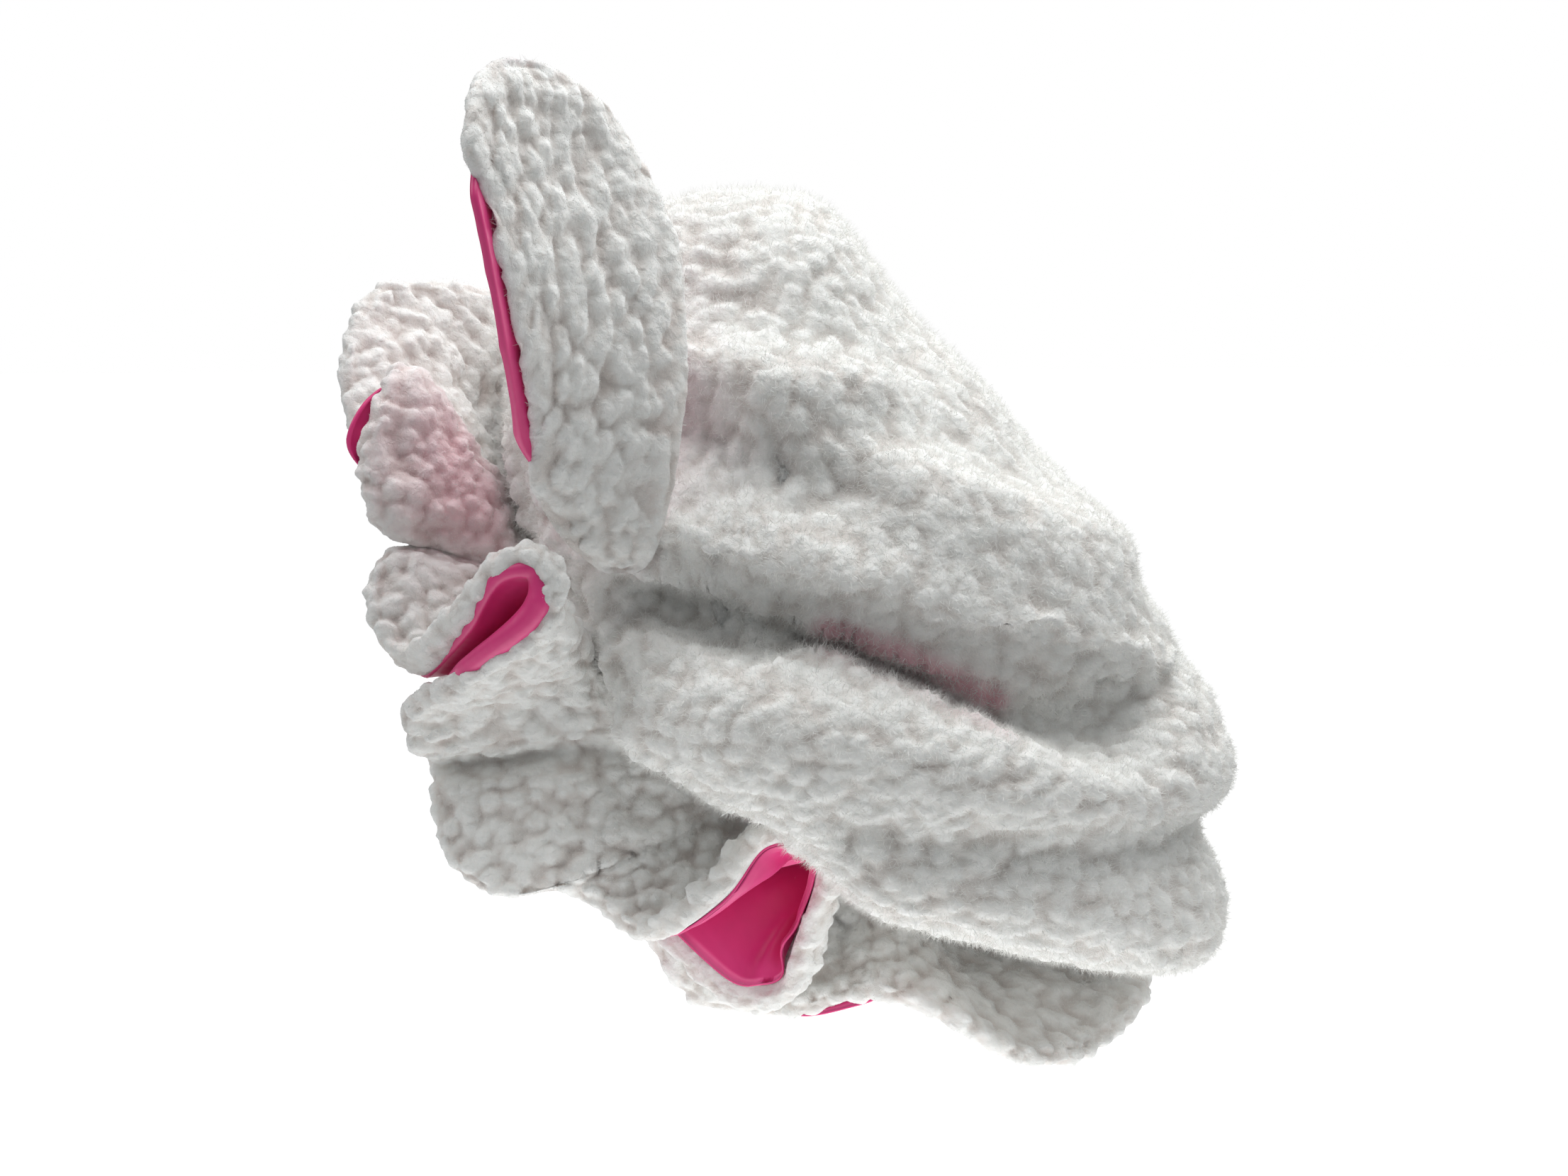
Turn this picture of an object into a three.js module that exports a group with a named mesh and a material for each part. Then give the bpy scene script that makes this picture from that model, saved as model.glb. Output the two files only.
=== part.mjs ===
// A fleece hair bonnet with two bear ears, lined with satin and edged with a wide ruffle.
// Sizes are millimetres. The wearer faces -Y, the wearer's left is +X and up is +Z.
// The origin is the middle of the elastic band, which is the opening for the head.
import * as THREE from 'three';

// Elastic band: an oval loop that falls from the forehead to the nape
const BAND_HALF_LENGTH = 121.5;
const BAND_HALF_WIDTH = 80;
const BAND_DROOP = 25;
const BAND_TILT = 45.3;
const BAND_HEIGHT = 9;
const BAND_THICK = 4.6;
const BAND_INSET = 0.9;
const BAND_LOWER_EDGE = -0.5;
const BAND_SIDES = 48;

// Cloth thicknesses, and the gap that neighbouring layers keep
const FLEECE_THICK = 6;
const SATIN_THICK = 1.2;
const LAYER_GAP = 0.8;

// Crown: stations run from forehead over the top to the nape, columns from side to side. The
// fleece is a front and a back that meet at a seam, and their gap is counted in table rows.
const CROWN_STATIONS = 34;
const CROWN_SEAM_STATION = 13;
const CROWN_SEAM_GAP = 0.03;
const CROWN_NEAR_COLUMNS = 15;
const CROWN_FAR_COLUMNS = 8;
const CROWN_BELLY_SHARE = 0.2;
const CROWN_SAG = 8;
const CROWN_FULLNESS = 1.03;
const CROWN_EDGE_CROWDING = 0.35;
const CROWN_PLEATS = 18;
const PLEAT_DEPTH = 4;
const PLEAT_REACH = 42;
const EDGE_HOLD = 18;

// Folds fade in across the middle line and fade out towards the band
const FOLD_SIDE_START = -15;
const FOLD_SIDE_FULL = 35;
const FOLD_EDGE_FADE = 16;
const FOLD_SAMPLES_PER_POINT = 5;

// Steps along the forms where their slopes are measured
const SLOPE_STEP = 0.02;
const POLE_MARGIN = 0.3;
const SMALLEST_WIDTH = 0.01;

// Ruffle: a flared strip of the same two cloths below the band
const RUFFLE_ROWS = 3;
const RUFFLE_STEPS = 2;
const RUFFLE_THICK = 5.5;
const RUFFLE_ROOT_DROP = 2.4;
const RUFFLE_ROOT_INSET = 1;
const RUFFLE_NORMAL_PASSES = 2;
const FAR_REACH = { forehead: 112, nape: 140, outward: 24, down: 98 };
const FAR_PLEATS = 4;
const FAR_PLEAT_DEPTH = 21;
const FAR_ROWS_PER_PLEAT = 3;
const FAR_LIP = -4;

// Ears: padded leaves of fleece with a satin front
const EAR_ROWS = 9;
const EAR_COLUMNS = 6;
const EAR_FLEECE_THICK = 9;
const EAR_SATIN_THICK = 5;
const EAR_CUP = 12;
const EAR_SATIN_LIP = 8;
const EAR_RIM_SHARE = 0.35;

// The right ear has settled a little nearer the middle than the left one
const RIGHT_EAR_INWARDS = 4.5;

const COLOURS = { fleece: 0xf2f1ee, satin: 0xd81f6d, elastic: 0xc2185f };

// A table is a list of rows with named columns
function table(columns, rows) {
  return rows.map((row) => Object.fromEntries(columns.map((name, i) => [name, row[i]])));
}

// Middle line and half width of the crown at turns of the band, from forehead to nape
const CROWN = table(['turn', 'y', 'z', 'halfWidth'], [
  [0, -85.5, 86.4, 0],
  [14, -90, 108, 40],
  [27, -92, 134, 62],
  [38, -85, 163, 77],
  [47, -68, 191, 88],
  [54, -44, 213, 95],
  [60, -11, 225, 100],
  [66, 22, 229, 106],
  [71, 51, 224, 114],
  [77, 73, 204, 124],
  [84, 101, 169, 136],
  [91, 138, 132, 146],
  [98, 169, 95, 152],
  [104, 193, 56, 155],
  [109, 213, 22, 156],
  [114, 233, -2, 155],
  [119, 235, -30, 152],
  [124, 230, -61, 149],
  [130, 237, -89, 145],
  [136, 242, -111, 137],
  [143, 235, -128, 127],
  [150, 215, -131, 114],
  [157, 182, -119, 97],
  [164, 145, -105, 76],
  [172, 110, -94, 44],
  [180, 85.5, -86.4, 0],
]);

// Folds of the crown. Each runs along its path, given as y and z in side view. Its crest stands
// out by `out`, fades over `above` and `below`, and hangs down by `drop`.
const FOLD_COLUMNS = ['out', 'above', 'below', 'drop', 'path'];
const NEAR_FOLDS = table(FOLD_COLUMNS, [
  // top hollow
  [-8, 28, 28, 0, [[-16, 174], [83, 168]]],
  // top ridge
  [9, 14, 14, 0, [[-19, 158], [66, 145]]],
  // pocket
  [-18, 20, 20, 0, [[-19, 127], [48, 110]]],
  // slanting ridge
  [12, 16, 16, 0, [[19, 136], [92, 101], [175, 67]]],
  // back hollow
  [-6, 20, 20, 0, [[58, 130], [143, 104]]],
  // lip
  [14, 28, 14, 12, [[-25, 94], [53, 75], [146, 48], [224, 8]]],
  // deep fold
  [-34, 20, 26, 0, [[-30, 52], [34, 50], [93, 32], [142, 11], [201, -2]]],
  // roll
  [16, 28, 30, 4, [[-47, 1], [39, 11], [114, -13], [226, -36]]],
  // crease
  [-8, 14, 14, 0, [[55, -37], [224, -56]]],
  // low bulge
  [10, 26, 26, 8, [[73, -58], [228, -100]]],
]);
const FAR_FOLDS = table(FOLD_COLUMNS, [
  // far top hollow
  [-12, 24, 24, 0, [[-30, 155], [60, 130], [140, 100]]],
  // far ridge
  [12, 20, 18, 6, [[-40, 95], [50, 88], [170, 50]]],
  // far fold
  [-20, 20, 22, 0, [[-20, 44], [80, 36], [190, 0]]],
  // far roll
  [12, 26, 26, 6, [[-30, 0], [90, -5], [220, -50]]],
]);

// Free edge of the ruffle on the wearer's left, a row for each crest and valley. `belly` is how
// far the strip swells outwards between the band and the edge, and `lip` how far the satin
// shows past the fleece.
const NEAR_HEM = table(['turn', 'x', 'y', 'z', 'belly', 'lip'], [
  [-34, -80, -113, 145, -20, -4],
  [-25, -54, -111, 181, -18, -4],
  [-16, -34, -137, 188, 0, -4],
  [-8, -18, -158, 182, 14, -4],
  [-1, 0, -167, 160, 14, -4],
  [5, 14, -167, 136, 12, -4],
  [10, 28, -157, 116, 10, -4],
  [15, 46, -142, 148, 4, 4],
  [21, 62, -148, 136, 10, 9],
  [27, 68, -156, 116, 14, 4],
  [33, 70, -154, 96, 14, -4],
  [38, 64, -146, 80, 8, 4],
  [42, 54, -130, 73, -4, 4],
  [46, 66, -146, 68, 8, -4],
  [50, 76, -152, 52, 12, -4],
  [54, 82, -148, 36, 10, -4],
  [58, 93, -133, 24, 2, -2],
  [62, 120, -110, 50, -6, -2],
  [65, 134, -94, 73, -8, -2],
  [68, 141, -77, 75, -8, -2],
  [71, 140, -76, 57, -8, -2],
  [74, 131, -92, 35, -4, -2],
  [77, 110, -118, 8, 6, -4],
  [80, 88, -137, 1, 10, -4],
  [84, 76, -136, -13, 8, -4],
  [88, 62, -128, -26, 0, -4],
  [92, 74, -127, -38, 8, -4],
  [96, 84, -123, -60, 12, -4],
  [101, 92, -110, -74, 12, -4],
  [106, 97, -92, -79, 10, -4],
  [110, 98, -70, -75, 8, -4],
  [114, 94, -50, -83, 2, -4],
  [119, 110, -20, -97, 8, -4],
  [124, 116, 9, -77, 2, -4],
  [129, 107, 24, -64, -6, -4],
  [134, 92, 43, -73, -6, -4],
  [138, 86, 42, -90, -2, -4],
  [142, 80, 38, -112, 0, -4],
  [146, 72, 30, -129, 0, -4],
  [150, 66, 10, -131, -2, -4],
  [153, 60, -10, -124, -4, -4],
  [156, 46, -8, -137, -6, -4],
  [159, 42, 14, -147, -8, 6],
  [162, 48, 40, -148, -8, -4],
  [165, 56, 66, -140, -8, 6],
  [169, 72, 88, -138, -10, -4],
  [173, 84, 112, -148, -14, -4],
  [177, 84, 142, -165, -18, -4],
  [182, 64, 174, -171, -22, -4],
  [188, 30, 208, -161, -24, -4],
  [194, -8, 222, -157, -24, -4],
  [200, -48, 206, -156, -20, -4],
]);

// Ear rims from base to tip. The front rim leads towards the face, and the ear leans outwards.
const EAR = table(['z', 'frontX', 'frontY', 'backX', 'backY', 'cup'], [
  [70, 112, -51, 113, -33, 0.25],
  [88, 126, -66, 120, -27, 0.5],
  [119, 151, -80, 123, -21, 0.8],
  [145, 167, -84, 121, -18, 1],
  [168, 178, -87, 117, -17, 1],
  [206, 188, -93, 108, -20, 1],
  [234, 188, -98, 107, -32, 0.9],
  [253, 182, -98, 112, -43, 0.7],
  [266, 173, -95, 122, -54, 0.5],
  [275, 162, -89, 137, -69, 0.25],
]);

// Directions of the band: its axis, its length from forehead to nape, and its width
const axis = new THREE.Vector3(0, Math.sin(radians(BAND_TILT)), Math.cos(radians(BAND_TILT)));
const along = new THREE.Vector3(0, Math.cos(radians(BAND_TILT)), -Math.sin(radians(BAND_TILT)));
const across = new THREE.Vector3(1, 0, 0);

function radians(degrees) {
  return (degrees * Math.PI) / 180;
}

function mix(a, b, share) {
  return a + (b - a) * share;
}

function smooth(low, high, value) {
  const share = Math.min(1, Math.max(0, (value - low) / (high - low)));
  return share * share * (3 - 2 * share);
}

// A smooth curve through every row of a table, at a place counted in rows
function rowAt(rows, place) {
  const last = rows.length - 1;
  const index = Math.min(last - 1, Math.max(0, Math.floor(place)));
  const share = place - index;
  const four = [-1, 0, 1, 2].map((step) => rows[Math.min(last, Math.max(0, index + step))]);
  const result = {};
  for (const name of Object.keys(rows[0])) {
    const [a, b, c, d] = four.map((row) => row[name]);
    const bend = 2 * a - 5 * b + 4 * c - d;
    const twist = 3 * b - a - 3 * c + d;
    result[name] = b + 0.5 * share * (c - a + share * (bend + share * twist));
  }
  return result;
}

// The band at a turn in degrees: 0 is the forehead, 90 the wearer's left, 180 the nape
function bandPoint(turn) {
  const angle = radians(turn);
  return new THREE.Vector3()
    .addScaledVector(along, -BAND_HALF_LENGTH * Math.cos(angle))
    .addScaledVector(across, BAND_HALF_WIDTH * Math.sin(angle))
    .addScaledVector(axis, -BAND_DROOP * Math.sin(angle) ** 2);
}

// The direction out of the band, square to it and in its plane
function bandOutward(turn) {
  const angle = radians(turn);
  return new THREE.Vector3()
    .addScaledVector(along, -BAND_HALF_WIDTH * Math.cos(angle))
    .addScaledVector(across, BAND_HALF_LENGTH * Math.sin(angle))
    .normalize();
}

// A closed cloth shell between two equal grids of points. `poles` lists the grid rows whose
// points are all one point, and a ring is a grid whose last row joins its first. Where `turned`
// says so, a cell is split across its other diagonal.
function shell(outer, inner, { poles = [], ring = false, turned = null } = {}) {
  const rows = outer.length;
  const columns = outer[0].length;
  const positions = [];
  const index = [outer, inner].map((grid) => grid.map((line, i) => {
    return line.map((point, j) => {
      if (j === 0 || !poles.includes(i)) positions.push(point.x, point.y, point.z);
      return positions.length / 3 - 1;
    });
  }));
  const faces = [];
  const quad = (a, b, c, d, other = false) => {
    const halves = other ? [[a, b, d], [b, c, d]] : [[a, b, c], [a, c, d]];
    for (const [p, q, r] of halves) {
      if (p !== q && q !== r && r !== p) faces.push(p, q, r);
    }
  };
  const [top, under] = index;
  for (let i = 0; i < (ring ? rows : rows - 1); i++) {
    const next = (i + 1) % rows;
    for (let j = 0; j + 1 < columns; j++) {
      const other = turned !== null && turned[i][j];
      quad(top[i][j], top[next][j], top[next][j + 1], top[i][j + 1], other);
      quad(under[i][j], under[i][j + 1], under[next][j + 1], under[next][j], other);
    }
    const edge = columns - 1;
    quad(top[i][0], under[i][0], under[next][0], top[next][0]);
    quad(top[i][edge], top[next][edge], under[next][edge], under[i][edge]);
  }
  if (!ring) {
    for (let j = 0; j + 1 < columns; j++) {
      quad(top[0][j], top[0][j + 1], under[0][j + 1], under[0][j]);
      quad(top[rows - 1][j], under[rows - 1][j], under[rows - 1][j + 1], top[rows - 1][j + 1]);
    }
  }
  return closedGeometry(positions, faces);
}

// Faces are turned to point outwards, by the sign of the volume that they enclose
function closedGeometry(positions, faces) {
  let volume = 0;
  const corner = (i) => new THREE.Vector3().fromArray(positions, i * 3);
  for (let i = 0; i < faces.length; i += 3) {
    volume += corner(faces[i]).dot(corner(faces[i + 1]).cross(corner(faces[i + 2])));
  }
  if (volume < 0) faces.reverse();
  const geometry = new THREE.BufferGeometry();
  geometry.setAttribute('position', new THREE.Float32BufferAttribute(positions, 3));
  geometry.setIndex(faces);
  return geometry;
}

// Crown form before its folds. `side` is 1 at the band on the wearer's left, 0 on the
// middle line and -1 at the band on the wearer's right.
function crownForm(place, side) {
  const row = rowAt(CROWN, place);
  const band = bandPoint(row.turn);
  const middle = new THREE.Vector3(0, band.y, band.z);
  const rise = new THREE.Vector3(0, row.y, row.z).sub(middle);
  const depth = rise.length();
  const halfWidth = Math.max(row.halfWidth, band.x * CROWN_FULLNESS + SMALLEST_WIDTH);
  const start = -Math.acos(band.x / halfWidth);
  const share = 1 - Math.abs(side);
  const spread = share * (1 + CROWN_EDGE_CROWDING * (1 - share));
  const angle = start + (Math.PI / 2 - start) * spread;
  const belly = depth * CROWN_BELLY_SHARE;
  let height = belly + (depth - belly) * Math.sin(angle);
  if (angle < 0) {
    const sag = CROWN_SAG * Math.sin(radians(row.turn)) ** 2;
    const below = Math.sin((Math.PI * angle) / start);
    height = belly * (1 - Math.sin(angle) / Math.sin(start)) - sag * below;
  }
  const x = Math.sign(side) * halfWidth * Math.cos(angle);
  return middle.addScaledVector(rise.normalize(), height).setX(x);
}

// Distance from a point in side view to a fold's path, negative below the path
function foldDistance(fold, y, z) {
  let best = Infinity;
  let sign = 1;
  for (let i = 0; i + 1 < fold.line.length; i++) {
    const start = fold.line[i];
    const run = fold.line[i + 1].clone().sub(start);
    const point = new THREE.Vector2(y, z).sub(start);
    const share = Math.min(1, Math.max(0, point.dot(run) / run.lengthSq()));
    const distance = point.distanceTo(run.clone().multiplyScalar(share));
    if (distance < best) {
      best = distance;
      sign = run.cross(point) < 0 ? -1 : 1;
    }
  }
  return best * sign;
}

function prepareFold(fold) {
  const corners = fold.path.map(([y, z]) => new THREE.Vector2(y, z));
  const line = new THREE.SplineCurve(corners).getPoints(FOLD_SAMPLES_PER_POINT * corners.length);
  return { ...fold, line };
}

const foldSides = [
  { folds: NEAR_FOLDS.map(prepareFold), sign: 1 },
  { folds: FAR_FOLDS.map(prepareFold), sign: -1 },
];

// How far the cloth stands out and hangs down at a point of the crown
function crownRelief(point, turn, edgeDistance) {
  let out = 0;
  let drop = 0;
  for (const { folds, sign } of foldSides) {
    const weight = smooth(FOLD_SIDE_START, FOLD_SIDE_FULL, point.x * sign);
    for (const fold of folds) {
      const distance = foldDistance(fold, point.y, point.z);
      const width = distance > 0 ? fold.above : fold.below;
      const strength = weight * Math.exp(-((distance / width) ** 2));
      out += fold.out * strength;
      drop += fold.drop * strength;
    }
  }
  const free = 1 - Math.exp(-((edgeDistance / FOLD_EDGE_FADE) ** 2));
  const gathered = Math.exp(-((edgeDistance / PLEAT_REACH) ** 2));
  const pleat = Math.cos(radians(turn * CROWN_PLEATS)) * gathered;
  return { out: free * (out + PLEAT_DEPTH * pleat), drop: free * drop };
}

// A point of the crown's cloth. `depth` is measured inwards from the outer face. At the band
// the layers lie one above another along the band's axis.
function crownPoint(place, side, depth) {
  const last = CROWN.length - 1;
  const form = crownForm(place, side);
  const step = SLOPE_STEP;
  const inside = Math.min(last - POLE_MARGIN, Math.max(POLE_MARGIN, place));
  const back = crownForm(inside + step, side).sub(crownForm(inside - step, side));
  const sideways = crownForm(inside, side + step).sub(crownForm(inside, side - step));
  const turn = rowAt(CROWN, place).turn;
  const edge = bandPoint(turn);
  edge.setX(edge.x * Math.sign(side || 1));
  const edgeDistance = form.distanceTo(edge);
  const hold = Math.exp(-((edgeDistance / EDGE_HOLD) ** 2));
  const normal = back.cross(sideways).normalize();
  normal.multiplyScalar(-1).lerp(axis.clone().negate(), hold).normalize();
  const relief = crownRelief(form, turn, edgeDistance);
  return form.addScaledVector(normal, relief.out - depth).setZ(form.z - relief.drop);
}

// Grid lines of the crown between two stations, as places along its table and sides across it.
// At the seam the front and the back each keep clear of the other by half the gap.
function crownLines(first, last) {
  const sides = [];
  for (let j = 0; j < CROWN_NEAR_COLUMNS; j++) {
    sides.push(1 - j / CROWN_NEAR_COLUMNS);
  }
  for (let j = 0; j <= CROWN_FAR_COLUMNS; j++) {
    sides.push(-j / CROWN_FAR_COLUMNS);
  }
  const places = [];
  for (let i = first; i <= last; i++) {
    places.push(((CROWN.length - 1) * i) / CROWN_STATIONS);
  }
  if (first === CROWN_SEAM_STATION) places[0] += CROWN_SEAM_GAP / 2;
  if (last === CROWN_SEAM_STATION) places[places.length - 1] -= CROWN_SEAM_GAP / 2;
  return { places, sides };
}

function crownGrid({ places, sides }, depth) {
  return places.map((place) => sides.map((side) => crownPoint(place, side, depth)));
}

// Each cell of the crown is split along the diagonal that lies closer to the folded cloth, in
// every layer alike, so that the layers stay parallel
function crownSplits(lines) {
  const { places, sides } = lines;
  const grid = crownGrid(lines, 0);
  const half = (a, b) => a.clone().lerp(b, 0.5);
  return places.slice(1).map((place, i) => sides.slice(1).map((side, j) => {
    const cloth = crownPoint(mix(places[i], place, 0.5), mix(sides[j], side, 0.5), 0);
    const straight = half(grid[i][j], grid[i + 1][j + 1]).distanceTo(cloth);
    return half(grid[i + 1][j], grid[i][j + 1]).distanceTo(cloth) < straight;
  }));
}

// One cloth of the crown between two stations. The first and last stations of all are poles.
function crownShell(first, last, outerDepth, thickness) {
  const lines = crownLines(first, last);
  const poles = [0, CROWN_STATIONS].map((station) => station - first);
  const outer = crownGrid(lines, outerDepth);
  const inner = crownGrid(lines, outerDepth + thickness);
  return shell(outer, inner, { poles, turned: crownSplits(lines) });
}

// Free edge on the wearer's right, where even pleats carry on round to the forehead
function farHem() {
  const rows = [];
  const first = NEAR_HEM[NEAR_HEM.length - 1].turn;
  const end = NEAR_HEM[0].turn + 360;
  const count = FAR_PLEATS * FAR_ROWS_PER_PLEAT;
  for (let i = 1; i < count; i++) {
    const turn = mix(first, end, i / count);
    const sideShare = Math.sin(radians(turn)) ** 2;
    const wave = FAR_PLEAT_DEPTH * Math.sin((2 * Math.PI * i) / FAR_ROWS_PER_PLEAT);
    const reach = Math.cos(radians(turn)) > 0 ? FAR_REACH.forehead : FAR_REACH.nape;
    const hem = bandPoint(turn)
      .addScaledVector(bandOutward(turn), mix(reach, FAR_REACH.outward, sideShare) + wave * sideShare)
      .addScaledVector(axis, -FAR_REACH.down * sideShare + wave * (1 - sideShare));
    rows.push({ turn, x: hem.x, y: hem.y, z: hem.z, belly: 0, lip: FAR_LIP });
  }
  return rows;
}

// The hem table as a ring: one row is added before it and two after it, a full turn away
function hemRing() {
  const rows = [...NEAR_HEM, ...farHem()];
  const moved = (row, turn) => ({ ...row, turn: row.turn + turn });
  return [moved(rows[rows.length - 1], -360), ...rows, moved(rows[0], 360), moved(rows[1], 360)];
}

const HEM = hemRing();

// Middle of the ruffle strip: `share` is 0 at the band and 1 at the free edge
function ruffleForm(place, share) {
  const row = rowAt(HEM, place);
  const turn = row.turn;
  const root = bandPoint(turn)
    .addScaledVector(axis, -RUFFLE_ROOT_DROP)
    .addScaledVector(bandOutward(turn), -RUFFLE_ROOT_INSET);
  const hem = new THREE.Vector3(row.x, row.y, row.z);
  const sideShare = Math.sin(radians(turn)) ** 2;
  const fall = bandOutward(turn).multiplyScalar(1 - sideShare).addScaledVector(axis, -sideShare);
  const tangent = bandPoint(turn + 1).sub(bandPoint(turn - 1));
  const swell = fall.cross(tangent).normalize();
  const knee = root.clone().lerp(hem, 0.5).addScaledVector(swell, row.belly);
  const rest = 1 - share;
  return root.multiplyScalar(rest * rest)
    .addScaledVector(knee, 2 * rest * share)
    .addScaledVector(hem, share * share);
}

// The direction square to the strip, towards its fleece side, evened out between neighbours
function ruffleNormals(grid) {
  const count = grid.length;
  let normals = grid.map((line, i) => line.map((point, j) => {
    const before = grid[(i + count - 1) % count][j];
    const after = grid[(i + 1) % count][j];
    const down = line[Math.min(j + 1, line.length - 1)].clone().sub(line[Math.max(j - 1, 0)]);
    return down.cross(after.clone().sub(before)).normalize();
  }));
  for (let pass = 0; pass < RUFFLE_NORMAL_PASSES; pass++) {
    normals = normals.map((line, i) => line.map((normal, j) => normal.clone()
      .multiplyScalar(2)
      .add(normals[(i + count - 1) % count][j])
      .add(normals[(i + 1) % count][j])
      .normalize()));
  }
  return normals;
}

// One cloth of the ruffle. The satin runs on past the fleece, or ends before it, by its lip.
function ruffleShell(depth, thickness, useLip) {
  const grid = [];
  const lips = [];
  for (let i = 0; i < (HEM.length - 3) * RUFFLE_STEPS; i++) {
    const place = 1 + i / RUFFLE_STEPS;
    const line = [];
    for (let j = 0; j <= RUFFLE_ROWS; j++) {
      line.push(ruffleForm(place, j / RUFFLE_ROWS));
    }
    grid.push(line);
    lips.push(useLip ? rowAt(HEM, place).lip : 0);
  }
  const normals = ruffleNormals(grid);
  const layer = (distance) => grid.map((line, i) => {
    const points = line.map((point, j) => point.clone().addScaledVector(normals[i][j], -distance));
    const edge = points[RUFFLE_ROWS];
    const before = points[RUFFLE_ROWS - 1];
    edge.addScaledVector(edge.clone().sub(before).normalize(), lips[i]);
    return points;
  });
  return shell(layer(depth), layer(depth + thickness), { ring: true });
}

// Casing of the elastic: a flat ring just inside the edge of the crown
function bandRing() {
  const outer = [];
  const inner = [];
  for (let i = 0; i < BAND_SIDES; i++) {
    const turn = (360 * i) / BAND_SIDES;
    const corner = (inset, rise) => bandPoint(turn)
      .addScaledVector(bandOutward(turn), -inset)
      .addScaledVector(axis, rise);
    const inside = BAND_INSET + BAND_THICK;
    outer.push([corner(BAND_INSET, BAND_LOWER_EDGE), corner(BAND_INSET, BAND_HEIGHT)]);
    inner.push([corner(inside, BAND_LOWER_EDGE), corner(inside, BAND_HEIGHT)]);
  }
  return shell(outer, inner, { ring: true });
}

// A point between the two cloths of an ear. `width` runs from 0 at the front rim to 1 at the
// back rim.
function earForm(place, width) {
  const row = rowAt(EAR, place);
  const front = new THREE.Vector3(row.frontX, row.frontY, row.z);
  const back = new THREE.Vector3(row.backX, row.backY, row.z);
  const facing = back.clone().sub(front).cross(new THREE.Vector3(0, 0, 1)).normalize().negate();
  const bulge = 4 * width * (1 - width) * EAR_CUP * row.cup;
  return front.lerp(back, width).addScaledVector(facing, bulge);
}

// One cloth of an ear, padded towards its middle. `reach` is its thickness: above 0 for the
// fleece behind and below 0 for the satin in front.
function earShell(reach, lip, mirror, inwards) {
  const last = EAR.length - 1;
  const step = SLOPE_STEP;
  const layer = (outside) => {
    const grid = [];
    for (let i = 0; i <= EAR_ROWS; i++) {
      const place = (last * i) / EAR_ROWS;
      const row = rowAt(EAR, place);
      const start = (lip * row.cup) / Math.hypot(row.backX - row.frontX, row.backY - row.frontY);
      const line = [];
      for (let j = 0; j <= EAR_COLUMNS; j++) {
        const share = j / EAR_COLUMNS;
        const width = mix(start, 1, share);
        const below = earForm(Math.max(place - step, 0), width);
        const up = earForm(Math.min(place + step, last), width).sub(below);
        const wide = earForm(place, width + step).sub(earForm(place, width - step));
        const dome = Math.sqrt(4 * share * (1 - share));
        const padding = mix(EAR_RIM_SHARE, 1, dome * row.cup);
        const distance = outside ? reach * padding : (Math.sign(reach) * LAYER_GAP) / 2;
        const point = earForm(place, width).addScaledVector(wide.cross(up).normalize(), distance);
        line.push(point.setX((point.x - inwards) * mirror));
      }
      grid.push(line);
    }
    return grid;
  };
  return shell(layer(true), layer(false));
}

function addPiece(group, name, geometry, material) {
  const mesh = new THREE.Mesh(geometry, material);
  mesh.name = name;
  group.add(mesh);
}

const fleece = new THREE.MeshStandardMaterial({ color: COLOURS.fleece, roughness: 0.95 });
const satin = new THREE.MeshStandardMaterial({ color: COLOURS.satin, roughness: 0.35 });
const elastic = new THREE.MeshStandardMaterial({ color: COLOURS.elastic, roughness: 0.5 });

const bonnet = new THREE.Group();
const liningDepth = FLEECE_THICK + LAYER_GAP;
const ruffleLiningDepth = RUFFLE_THICK + LAYER_GAP;
const seam = CROWN_SEAM_STATION;
addPiece(bonnet, 'crown_front', crownShell(0, seam, 0, FLEECE_THICK), fleece);
addPiece(bonnet, 'crown_back', crownShell(seam, CROWN_STATIONS, 0, FLEECE_THICK), fleece);
addPiece(bonnet, 'crown_lining', crownShell(0, CROWN_STATIONS, liningDepth, SATIN_THICK), satin);
addPiece(bonnet, 'ruffle', ruffleShell(0, RUFFLE_THICK, false), fleece);
addPiece(bonnet, 'ruffle_lining', ruffleShell(ruffleLiningDepth, SATIN_THICK, true), satin);
addPiece(bonnet, 'elastic_band', bandRing(), elastic);
for (const [side, mirror, inwards] of [['left', 1, 0], ['right', -1, RIGHT_EAR_INWARDS]]) {
  addPiece(bonnet, `ear_${side}`, earShell(EAR_FLEECE_THICK, EAR_SATIN_LIP, mirror, inwards), fleece);
  addPiece(bonnet, `ear_${side}_lining`, earShell(-EAR_SATIN_THICK, 0, mirror, inwards), satin);
}

export default bonnet;
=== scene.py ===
# %% [markdown]
# # A bear bonnet of sherpa fleece and satin
# The bonnet is a roomy bag of white sherpa fleece with a hot-pink satin lining. An elastic band
# gathers it round the head, a wide ruffle flares below the band, and two padded bear ears stand
# on top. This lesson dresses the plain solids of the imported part: every cloth is rebuilt as a
# fine mesh from the same forms and tables, the fleece gets its tufts, and each finish its nodes.

import itertools
import math

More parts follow.
